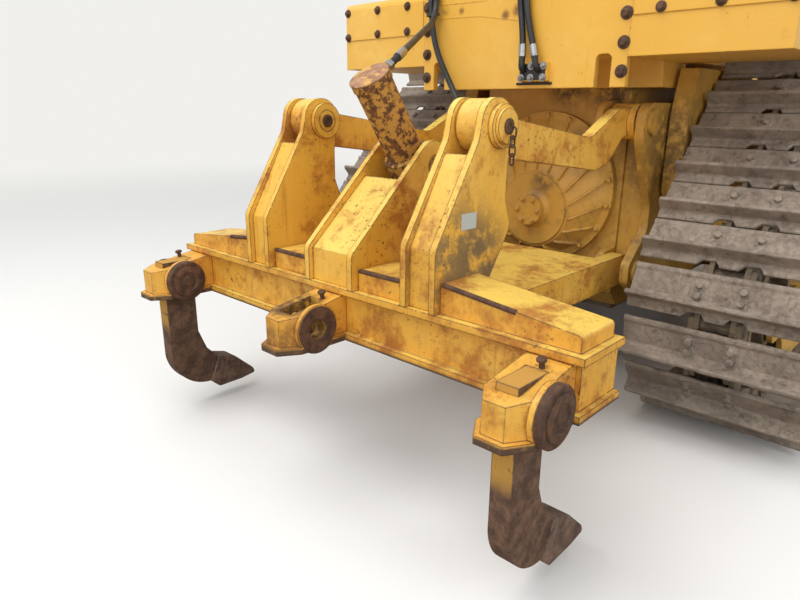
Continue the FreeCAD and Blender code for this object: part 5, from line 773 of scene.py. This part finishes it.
# %% Both tracks
SHOE_BOLTS = [(x, y) for x in (102, 150) for y in (-87, 87)]  # mm along the track and across it
for word, side in (("left", 1), ("right", -1)):
    spots, bolts = [], []
    for i, pin in enumerate(PINS):
        after = PINS[(i + 1) % SHOES]
        along = Vector((after[0] - pin[0], 0, after[1] - pin[1])).normalized()
        out = Vector((-along.z, 0, along.x))
        place = at(pin[0], side * GAUGE / 2, pin[1])
        spots.append((place, out, along))
        for x, y in SHOE_BOLTS:
            seat = place + along * x / 1000 + Vector((0, y / 1000, 0)) + out * (LINK_HALF + PLATE) / 1000
            bolts.append((seat, out, along))
    shoes = repeat("shoes_" + word, SHOE, spots, track_steel, wear=7, wear_mm=45)
    for vertex in shoes.data.vertices:
        vertex.co.z = max(0.0, vertex.co.z)  # the lowest grousers are pressed flat on the ground
    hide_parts("track_" + word)
    repeat("links_" + word, LINK, spots, under_steel, wear=3, wear_mm=70)
    repeat("shoe_bolts_" + word, BOLT_30, bolts, track_steel, 1.0, wear=1.5, wear_mm=20, seed=4)
print("tracks of", SHOES, "shoes each")

# %% [markdown]
# ## Hoses
#
# Four hydraulic hoses leave the tank guard. Two drop straight to the block on the guard. The other pair
# parts at a tie: one crosses to the head port of the ripper cylinder, the other dives past the guard's
# edge to the rod's port. Each is a smooth line on the corners of its CAD route, with crimped steel
# ends.

# %% Routes of the hoses
HOSE_RADIUS = 15  # mm
HOSE_ROUTES = {
    "hose_upper": [
        (-1121, 474, 2075), (-1151, 474, 2075), (-1152, 474, 2030), (-1164, 467, 1985), (-1194, 449, 1945),
        (-1245, 418, 1914), (-1330, 366, 1884), (-1470, 282, 1841), (-1670, 161, 1777), (-1850, 51, 1722),
        (-1935.2, 0, 1694.6), (-2000.0, 0, 1649.9)],
    "hose_lower": [
        (-1121, 512, 2075), (-1151, 512, 2075), (-1151, 511, 2030), (-1151, 506, 1975), (-1152, 498, 1915),
        (-1154, 480, 1835), (-1157, 444, 1752), (-1160, 391, 1668), (-1168, 335, 1590), (-1196, 265, 1509),
        (-1262, 190, 1428), (-1372, 115, 1366), (-1500, 50, 1330), (-1592, 14, 1311),
        (-1662.6, 0, 1291.1), (-1723.2, 0, 1249.2)],
    "hose_left_drop": [
        (-1121, -36, 2075), (-1151, -36, 2075), (-1151, -38, 2010), (-1151, -50, 1925), (-1154, -66, 1835),
        (-1165, -79, 1750), (-1178, -83, 1672), (-1151, -83, 1672)],
    "hose_right_drop": [
        (-1121, -68, 2075), (-1151, -68, 2075), (-1151, -70, 2010), (-1151, -83, 1925), (-1154, -110, 1835),
        (-1165, -143, 1748), (-1178, -164, 1672), (-1151, -164, 1672)],
}

# %% Lines and skins of the hoses


def smooth_line(name, corners):
    """Points of a smooth line whose control points are the corners of a route."""
    curve = bpy.data.curves.new(name, "CURVE")
    curve.dimensions = "3D"
    spline = curve.splines.new("NURBS")
    spline.points.add(len(corners) - 1)
    for point, corner in zip(spline.points, corners):
        point.co = (*at(*corner), 1)
    spline.order_u = 3
    spline.use_endpoint_u = True
    spline.resolution_u = 8
    line = bpy.data.objects.new(name, curve)
    return [vertex.co.copy() for vertex in bpy.data.meshes.new_from_object(line).vertices]


def stretch_of(points, start, end):
    """The part of a line between two distances along it, in millimetres."""
    part, done = [], 0.0
    for a, b in zip(points, points[1:]):
        run = (b - a).length * 1000
        for stop in (start, end):
            if done < stop < done + run:
                part.append(a.lerp(b, (stop - done) / run))
        done += run
        if start <= done <= end:
            part.append(b)
    return part if start > 0 else [points[0]] + part


def rings_along(points, radii, sides):
    """Rings of points round a line, each turned with the line. radii gives millimetres for each point."""
    across = None
    rings = []
    for i, point in enumerate(points):
        way = (points[min(i + 1, len(points) - 1)] - points[max(i - 1, 0)]).normalized()
        across = way.orthogonal() if across is None else across - way * across.dot(way)
        across.normalize()
        other = way.cross(across)
        r = radii[i] / 1000
        rings.append([point + (across * math.cos(a) + other * math.sin(a)) * r
                      for a in (2 * math.pi * k / sides for k in range(sides))])
    return rings


def tube(name, points, radius, sides=12):
    """A round skin along points, closed at both ends."""
    rings = rings_along(points, [radius] * len(points), sides)
    return shaped(name, lambda work: stack_rings(work, rings), 40)


def dress(obj, finish_of, body="root"):
    """Gives a piece its finish, the slot of that finish, and the body that it rides on, if any yet."""
    obj.data.materials.append(finish_of)
    if body:
        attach(obj, body)
    return obj


# %% Hoses and their steel ends
# millimetres from the start of a hose, or back from its end, and the radius of each steel piece there
ENDS = {"elbow": (0, 62, 17), "crimp": (-165, -78, 18.5), "nipple": (-78, -26, 13), "nut": (-26, 0, 21)}
BLOCK_ENDS = {"elbow": (0, 62, 17), "crimp": (-128, -72, 18.5), "bent_pipe": (-72, 0, 14)}

for name, corners in HOSE_ROUTES.items():
    points = smooth_line(name + "_line", corners)
    whole = sum((b - a).length for a, b in zip(points, points[1:])) * 1000
    moves = name in ("hose_upper", "hose_lower")
    hose = dress(tube(name + "_rubber", points, HOSE_RADIUS, 14), hose_rubber, None)
    pieces = []
    for word, (start, end, radius) in (ENDS if moves else BLOCK_ENDS).items():
        start, end = (start + whole, end + whole - 0.01) if start < 0 else (start, end)
        part = stretch_of(points, start, end)
        piece = tube("%s_%s" % (name, word), part, radius, 6 if word == "nut" else 16)
        pieces.append(dress(piece, zinc_steel, None))
    for obj in [hose] + pieces:
        if moves:
            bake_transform(obj)
        else:
            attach(obj, "root")
    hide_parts(name)
    print(name, round(whole), "mm")


def tie_band(work):
    """A flat oval band round the pair, 12 mm wide."""
    oval = [(0.036 * math.cos(a), 0.0185 * math.sin(a)) for a in (math.pi * k / 12 for k in range(24))]
    stack_rings(work, [[(x, y, z) for x, y in oval] for z in (-0.006, 0.006)])


tie_spot = (at(-1160, 488, 1962), (0.05, 0.1, 1), (-0.35, 0.94, 0))
repeat("hose_tie", shaped("tie_band", tie_band, pattern=True), [tie_spot], cab_plastic)

# %% [markdown]
# ## Where small pieces sit
#
# A bolt sits on its plate. Its place is found by looking along a line from outside until the line meets
# the CAD piece, which gives the place and the way the plate faces. Heads, caps and pins are turned parts,
# so they are drawn as steps of radius and height. A weld is a bead with a ripple every seven millimetres.

# %% Seats and rings of seats
LOOK_AHEAD = 1.5  # metres
SIDES = (1, -1)  # left and right of the machine


def seats(node, starts, way, mirrored=False):
    """Spots where lines from drawing places meet a CAD piece. mirrored adds the machine's other side."""
    spots = []
    for side in SIDES if mirrored else (1,):
        for x, y, z in starts:
            hit, place, normal, face = nodes[node].ray_cast(
                at(x, side * y, z), Vector((way[0], side * way[1], way[2])), distance=LOOK_AHEAD)
            if not hit:
                raise ValueError("%s is not ahead of %s" % (node, (x, side * y, z)))
            spots.append((place, normal, normal.orthogonal()))
    return spots


def ring_of(x, y, z, radius, count, axis, start=0.0):
    """Drawing places round a circle about an axis, X or Y."""
    places = []
    for i in range(count):
        a = start + 2 * math.pi * i / count
        one, two = radius * math.cos(a), radius * math.sin(a)
        places.append((x, y + one, z + two) if axis == "x" else (x + one, y, z + two))
    return places


# %% Turned pieces, welds and plates
HALF_RIPPLE = 0.0035  # metres


def turned(name, steps, sides=28, hollow=False):
    """A turned pattern from (radius, height) steps in millimetres, standing along Z."""

    def build(work):
        rings = [circle(radius / 1000, z / 1000, sides) for radius, z in steps]
        stack_rings(work, rings + rings[:1] if hollow else rings, not hollow)
        bmesh.ops.remove_doubles(work, verts=work.verts, dist=1e-6)

    return shaped(name, build, 35, pattern=True)


def weld(name, runs, finish_of, body="root", radius=4.5):
    """Rippled beads along runs of drawing places, as one mesh."""

    def build(work):
        for run in runs:
            points = []
            for a, b in zip(run, run[1:]):
                a, b = at(*a), at(*b)
                count = max(1, round((b - a).length / HALF_RIPPLE))
                points += [a.lerp(b, k / count) for k in range(count)]
            points.append(at(*run[-1]))
            ripple = [radius * (1 if k % 2 else 0.78) for k in range(len(points))]
            stack_rings(work, rings_along(points, ripple, 6))

    return dress(shaped(name, build, 180), finish_of, body)


def plates(name, boxes, finish_of, body="root", ease=2.0):
    """Plates between pairs of drawing places, their edges eased by some millimetres, as one mesh."""

    def build(work):
        for low, high in boxes:
            low, high = at(*low), at(*high)
            grown = Matrix.Translation((low + high) / 2) @ Matrix.Diagonal((*(high - low), 1))
            made = bmesh.ops.create_cube(work, size=1.0, matrix=grown)
            edges = {edge for vertex in made["verts"] for edge in vertex.link_edges}
            bmesh.ops.bevel(work, geom=list(edges), offset=ease / 1000, segments=2, affect="EDGES",
                            profile=0.5)

    return dress(shaped(name, build), finish_of, body)


# %% [markdown]
# ## Tank guard, fenders and rear cover
#
# The guard is a thick plate bolted down both sides. Low on it sits the black block that the two short
# hoses enter, and two old welds across its left half have rusted through the paint. The rear cover is a
# ribbed casting, bolted all round to the case, with a small cap of its own.

# %% Guard, fenders and cover
rows = [(-1300, y, z) for y in (556, -556) for z in (1655, 1772, 1888, 2005)]
repeat("guard_bolts", BOLT_30, seats("tank_guard", rows, (1, 0, 0)), pin_steel, 1.0)

block = [((-1156, -200, 1627), (-1151, -62, 1699)), ((-1127, -222, 1606), (-1121, -27, 1618))]
plates("hose_block_plate", block, black_enamel)
block_bolts = [(at(-1156, y, z), (-1, 0, 0), (0, 1, 0)) for y in (-72, -124, -190) for z in (1637, 1690)]
repeat("hose_block_bolts", BOLT_19, block_bolts, zinc_steel, 1.0)

old_runs = [[(-1121, 479, 2010), (-1121, 330, 2007), (-1121, 169, 2004)],
            [(-1121, 478, 1944), (-1121, 217, 1937), (-1121, -32, 1897)]]
weld("old_welds", old_runs, guard_enamel, radius=2.2)

covers = [((-1127, 586, 1876), (-1121, 1198, 2044)), ((-1127, -1198, 1876), (-1121, -586, 2044))]
plates("fender_covers", covers, yellow_enamel)
cover_holes = ((1180, 2028), (1180, 1894), (932, 1900), (701, 1898), (932, 2026), (701, 2026))
cover_bolts = [(at(-1127, side * y, z), (-1, 0, 0), (0, 0, 1)) for side in SIDES for y, z in cover_holes]
repeat("fender_cover_bolts", BOLT_24, cover_bolts, pin_steel, 1.0, seed=2)

for name, bolt, ring, seed in (
    ("cover_bolts", BOLT_24, ring_of(-1100, 0, 1080, 385, 18, "x", 0.17), 3),
    ("cap_bolts", BOLT_19, ring_of(-1100, 0, 968, 64, 6, "x"), 5),
):
    repeat(name, bolt, seats("rear_cover", ring, (1, 0, 0)), case_enamel, 1.0, seed=seed)


# %% Ribs of the rear cover


def cover_ribs(work):
    """Eighteen ribs from the cover's foot ring up to its head ring, thin and rounded off at both ends."""
    for i in range(18):
        a = math.radians(10 + 20 * i)
        foot = at(-745, 367 * math.cos(a), 1080 + 367 * math.sin(a))
        head = at(-840, 209 * math.cos(a), 968 + 209 * math.sin(a))
        side = Vector((0, -math.sin(a), math.cos(a)))
        out = (head - foot).cross(side).normalized()
        out = out if out.x < 0 else -out
        rings = []
        for share, proud in ((0.0, 2), (0.07, 14), (0.18, 18), (0.82, 18), (0.93, 14), (1.0, 2)):
            middle = foot.lerp(head, share)
            section = ((-6, -5), (6, -5), (4.5, proud - 1), (3, proud), (-3, proud), (-4.5, proud - 1))
            rings.append([middle + side * s * 0.001 + out * h * 0.001 for s, h in section])
        stack_rings(work, rings)


dress(shaped("cover_ribs", cover_ribs), case_enamel)
print("guard, fenders and cover dressed")

# %% [markdown]
# ## Ripper
#
# Everything on the ripper is welded plate, so the beads show along every seam. The shank pins carry a
# stepped head, and small retainers stand on the pockets and hang by the tower's pin.

# %% Ripper welds and pads
CARRIAGE = "ripper_carriage"
runs = []
for y in (418, 522, -418, -522):
    runs.append([(-2313, y, 829), (-2313, y, 1039), (-2138, y, 1348)])
for y in (388, 552, 142, -388, -552, -142):
    runs.append([(-2335, y, 828), (-2074, y, 828)])
for y in (112, -112):
    runs.append([(-2313, y, 829), (-2313, y, 958), (-2019, y, 1222)])
for z in (646, 801):
    for low, high in ((-1085, -1068), (-912, -78), (78, 912), (1068, 1085)):
        runs.append([(-2307, low, z), (-2307, high, z)])
weld("ripper_welds", runs, ripper_enamel, CARRIAGE)

pads = [((-2305, y, 826), (-2100, y + 240, 908)) for y in (145, -385)]
plates("beam_pads", pads, beam_enamel, CARRIAGE, 5)
worn = [[(-2302, y, 905), (-2302, y + 228, 905)] for y in (151, -379)]
worn += [[(-2302, 560, 930), (-2302, 730, 912.5)], [(-2302, -560, 930), (-2302, -850, 900)]]
for i, (start, end) in enumerate(worn):
    edge = [at(*start).lerp(at(*end), k / 12) for k in range(13)]
    dress(tube("worn_edge_%d" % i, edge, 9), pin_steel, CARRIAGE)

# %% Ripper pins and retainers
PIN_HEAD = turned("pin_head", [(72, -2), (72, 6), (69, 8), (46, 8), (44, 4), (26, 4), (24, 9), (1, 9)])
heads = [(at(-2470, y, 700), (0, way, 0), (0, 0, 1)) for y, way in ((866, -1), (-1114, -1), (1090, 1))]
repeat("pin_heads", PIN_HEAD, heads, pin_steel, 1.0, CARRIAGE)
BARE_RING = turned("bare_ring", [(39, -1), (90, -1), (90, 1), (88, 2.5), (41, 2.5), (39, 1)], hollow=True)
bare_spot = (at(-2470, -98, 700), (0, -1, 0), (0, 0, 1))
repeat("bare_ring_of_middle_pocket", BARE_RING, [bare_spot], pin_steel, body=CARRIAGE)

RETAINER = turned("retainer", [(9, -8), (9, 22), (16, 23), (16, 30), (13, 33), (1, 33)], 16)
tops = seats("shank_pockets", [(-2413, 1035, 950), (-2385, -27, 950), (-2385, -1000, 950)], (0, 0, -1))
repeat("retainers", RETAINER, tops, pin_steel, 1.0, CARRIAGE)

TOWER_CAP = turned("tower_cap", [(27, -2), (27, 5), (24, 7), (13, 7), (11, 1), (1, 1)])
caps = [(at(-2000, side * 584, 1440), (0, side, 0), (0, 0, 1)) for side in SIDES]
caps += seats("ripper_pins", [(-2000, 0, 1440)], (0, 1, 0), mirrored=True)
repeat("tower_caps", TOWER_CAP, caps, pin_steel, body=CARRIAGE)

BARREL_END = turned("barrel_end", [(84, -2), (84, 2.5), (81, 4), (1, 4)], 40)
tip = seats("ripper_cylinder", [(-2203, 0, 1764)], (0.57, 0, -0.82))[0]
repeat("barrel_end", BARREL_END, [(tip[0], tip[1], (0, 1, 0))], end_scale, body="ripper_barrel")


def chain_link(work):
    """An oval link of 7 mm wire."""
    line = [Vector((0.012 * math.cos(a), 0, 0.012 * math.sin(a) + math.copysign(0.008, math.sin(a))))
            for a in (2 * math.pi * (k + 0.5) / 14 for k in range(14))]
    rings = rings_along(line + line[:1], [3.4] * 15, 6)
    stack_rings(work, rings[:-1], False)
    work.verts.ensure_lookup_table()
    first, last = work.verts[:6], work.verts[-6:]
    for k in range(6):
        work.faces.new((last[k], last[(k + 1) % 6], first[(k + 1) % 6], first[k]))


hanging = [(at(-1985, -593, 1418 - 30 * k), (0, 0, 1), (1, 0, 0) if k % 2 else (0, 1, 0)) for k in range(4)]
repeat("retainer_chain", shaped("chain_link", chain_link, pattern=True), hanging, pin_steel, body=CARRIAGE)
plates("blank_patch", [((-2205, -553, 1100), (-2121, -551, 1156))], bleached_paint, CARRIAGE, 0.5)
print("ripper dressed")

# %% [markdown]
# ## Drives, idlers and blade
#
# The hub of each final drive, the bearing caps of the idlers and the cutting edge are all bolted on. The
# edge's plough bolts have flat square-socketed heads that sit in the wear face.

# %% Drives, idlers and blade
OUTSIDE = 1500  # mm to the left, from where the bolts' seats are looked for
for name, bolt, node, finish_of, seed, rings in (
    ("hub_bolts", BOLT_30, "final_drives", case_enamel, 6, [(0, 1250, 140, 12, 0.1)]),
    ("drive_flange_bolts", BOLT_30, "final_drives", case_enamel, 7, [(0, 1250, 312, 20, 0.0)]),
    ("idler_cap_bolts", BOLT_24, "idlers_and_rollers", under_steel, 8,
     [(2230, 560, 76, 6, 0.0), (-670, 560, 76, 6, 0.0)]),
):
    starts = []
    for x, z, radius, count, start in rings:
        starts += ring_of(x, OUTSIDE, z, radius, count, "y", start)
    repeat(name, bolt, seats(node, starts, (0, -1, 0), mirrored=True), finish_of, 1.0, seed=seed)

PLOUGH_BOLT = turned("plough_bolt", [(19, -2), (19, 1), (16, 2.5), (9, 2.5), (8, -0.5), (1, -0.5)], 20)
edge_starts = [(4100, y, z) for y in range(-1880, 1881, 188) for z in (112, 176)]
edge_bolts = seats("cutting_edge", edge_starts, (-1, 0, 0))
repeat("plough_bolts", PLOUGH_BOLT, edge_bolts, edge_steel, 1.0, "blade", seed=9)
print("drives, idlers and blade dressed")

# %% [markdown]
# ## Cab, doors and lamps
#
# Every pane sits in a rubber seal, which is a cord of rubber round the pane's own outline. The doors have
# a grab handle ahead of the seal, and the engine's side doors a turned latch. The lamps get their lenses.

# %% Seals


def panes_of(mesh):
    """The outlines of the separate thin panes of a mesh: each as a loop of points and the pane's normal."""
    work = bmesh.new()
    work.from_mesh(mesh)
    left = dict.fromkeys(work.verts)  # a dict keeps its order, a set doesn't, and each run must be the same
    outlines = []
    while left:
        pane, queue = [], [left.popitem()[0]]
        while queue:
            vertex = queue.pop()
            pane.append(vertex)
            for edge in vertex.link_edges:
                other = edge.other_vert(vertex)
                if other in left:
                    del left[other]
                    queue.append(other)
        faces = [face for vertex in pane for face in vertex.link_faces]
        normal = max(faces, key=lambda face: face.calc_area()).normal.copy()
        middle = sum((vertex.co for vertex in pane), Vector()) / len(pane)
        across = normal.orthogonal().normalized()
        other = normal.cross(across)
        flat = [vertex.co - normal * normal.dot(vertex.co - middle) for vertex in pane]
        flat.sort(key=lambda p: math.atan2((p - middle).dot(other), (p - middle).dot(across)))
        loop = [p for i, p in enumerate(flat) if (p - flat[i - 1]).length > 0.002]
        outlines.append((loop, normal))
    work.free()
    return outlines


def seal(name, node, body):
    """A rubber cord round every pane of a node."""
    section = ((-11, -9), (-7, -12), (7, -12), (11, -9), (11, 5), (-11, 5))  # mm off the pane, and outwards

    def build(work):
        for loop, normal in panes_of(nodes[node].data):
            points = []
            for a, b in zip(loop, loop[1:] + loop[:1]):
                count = max(1, round((b - a).length / 0.06))
                points += [a.lerp(b, k / count) for k in range(count)]
            made = []
            for i, point in enumerate(points):
                way = (points[(i + 1) % len(points)] - points[i - 1]).normalized()
                out = way.cross(normal)
                ring = [point + normal * n * 0.001 + out * o * 0.001 for n, o in section]
                made.append([work.verts.new(place) for place in ring])
            for i, ring in enumerate(made):
                before = made[i - 1]
                for k in range(6):
                    work.faces.new((before[k], before[(k + 1) % 6], ring[(k + 1) % 6], ring[k]))

    dress(shaped(name, build), hose_rubber, body)


# %% Handles, latches and lenses
GRIP = ((636, 2290), (668, 2292), (682, 2306), (682, 2330),
        (682, 2430), (682, 2454), (668, 2468), (636, 2470))
seal("cab_seals", "cab_glass", "root")
for word, side in (("left", 1), ("right", -1)):
    seal("door_seal_" + word, "door_glass_" + word, "cab_door_" + word)
    grip = [at(748, side * y, z) for y, z in GRIP]
    dress(tube("door_grip_" + word, grip, 9), black_enamel, "cab_door_" + word)
    latch = turned("latch_" + word, [(24, -2), (24, 4), (20, 7), (10, 7), (10, 16), (1, 16)], 20)
    spots = seats("engine_door_" + word, [(2035, side * 600, z) for z in (1720, 1990)], (0, -side, 0))
    repeat("side_door_latches_" + word, latch, spots, black_enamel, 1.0, "engine_door_" + word)

LENS = turned("lens", [(68, -3), (68, 2), (60, 7), (42, 12), (20, 15), (1, 16)])
BEZEL = turned("bezel", [(69, -4), (79, -4), (79, 5), (75, 9), (70, 8)], hollow=True)
lamps = [(at(x, side * y, 3365), (way, 0, 0), (0, 0, 1))
         for x, y, way in ((911, 520, 1), (-486, 560, -1)) for side in SIDES]
repeat("lamp_lenses", LENS, lamps, lamp_lens)
repeat("lamp_bezels", BEZEL, lamps, black_enamel)

FILLER = turned("filler_cap", [(62, -2), (62, 14), (54, 16), (54, 44),
                               (50, 49), (16, 50), (14, 56), (1, 56)])
repeat("filler_cap", FILLER, seats("fuel_tank", [(-760, 300, 2700)], (0, 0, -1)), black_enamel)
print("seals, handles and lenses made")

# %% [markdown]
# ## The driver's seat
#
# The seat is a steel box with two vinyl cushions. Each cushion starts as a crowned block with its sides
# pulled in. It is skinned evenly and blown up a little as cloth, so it swells between its piped seams.

# %% Cushion
VOXEL, PRESSURE, SWELL, CLOTH_FRAMES = 0.014, 4.0, 0.016, 20  # metres, Blender's own unit, metres, frames
CROWN, PULLED_IN, ROUNDED = 0.022, 0.10, 0.03  # metres, and shares of the cushion's width
PIPING_MM, SQUARENESS, PIPING_AT = 4.5, 0.28, 0.46


def stand(low, high, lean):
    """Of a cushion between two drawing places: its size, its two wide axes, its thin axis, and the matrix
    that puts it there, leaning back by lean radians about its foot."""
    low, high = at(*low), at(*high)
    size = high - low
    thin = min(range(3), key=lambda i: size[i])
    foot = Vector((0, 0, -size.z / 2))
    there = Matrix.Translation((low + high) / 2 + foot) @ Matrix.Rotation(-lean, 4, "Y")
    return size, [i for i in range(3) if i != thin], thin, there @ Matrix.Translation(-foot)


def cushion(name, low, high, lean):
    """A padded cushion, crowned in the middle."""
    size, wide, thin, there = stand(low, high, lean)

    def build(work):
        bmesh.ops.create_cube(work, size=1.0)
        bmesh.ops.subdivide_edges(work, edges=work.edges[:], cuts=9, use_grid_fill=True)
        for vertex in work.verts:
            u, v, w = (vertex.co[i] * 2 for i in (*wide, thin))
            place = Vector()
            for axis, along, across in ((wide[0], u, v), (wide[1], v, u)):
                kept = (1 - PULLED_IN * across * across) * (1 - ROUNDED * abs(w))
                place[axis] = along * kept * size[axis] / 2
            place[thin] = w * (size[thin] / 2 - CROWN * (1 - (1 - u * u) * (1 - v * v)))
            vertex.co = place

    obj = shaped(name, build)
    skin = obj.modifiers.new("skin", "REMESH")
    skin.mode, skin.voxel_size = "VOXEL", VOXEL
    obj.modifiers.new("soften", "SMOOTH").iterations = 4
    mesh = obj.data = settled(obj)
    before = [vertex.co.copy() for vertex in mesh.vertices]
    cloth = obj.modifiers.new("cloth", "CLOTH").settings
    cloth.use_pressure = True
    cloth.uniform_pressure_force = PRESSURE
    cloth.effector_weights.gravity = 0.0
    for frame_number in range(1, CLOTH_FRAMES + 1):
        scene.frame_set(frame_number)
    for vertex, start, end in zip(mesh.vertices, before, settled(obj).vertices):
        step = end.co - start
        vertex.co = start + (step if step.length < SWELL else step.normalized() * SWELL)
    scene.frame_set(1)
    mesh.transform(there)
    mesh.shade_smooth()
    return dress(obj, seat_vinyl)


def piping(name, low, high, lean):
    """The seam cord round a cushion's edge, in the plane that its thickness crosses."""
    size, wide, thin, there = stand(low, high, lean)
    points = []
    for k in range(49):
        a = 2 * math.pi * k / 48
        place = Vector()
        for axis, t in zip(wide, (math.cos(a), math.sin(a))):
            place[axis] = math.copysign(abs(t) ** SQUARENESS, t) * size[axis] * PIPING_AT
        points.append(there @ place)
    dress(tube(name, points, PIPING_MM, 8), seat_vinyl)


# %% Seat
BASE = ((-60, -195, 1760), (330, 195, 2080))
CUSHION = ((-95, -255, 2085), (412, 255, 2215))
BACK = ((-150, -235, 2200), (-20, 235, 2770))
seat_base = plates("seat_base", [BASE], black_enamel, ease=8)
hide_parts("seat")
for name, (low, high), lean in (("seat_cushion", CUSHION, 0.0), ("seat_back", BACK, 0.08)):
    padded = cushion(name, low, high, lean)
    piping(name + "_piping", low, high, lean)
print("seat made")
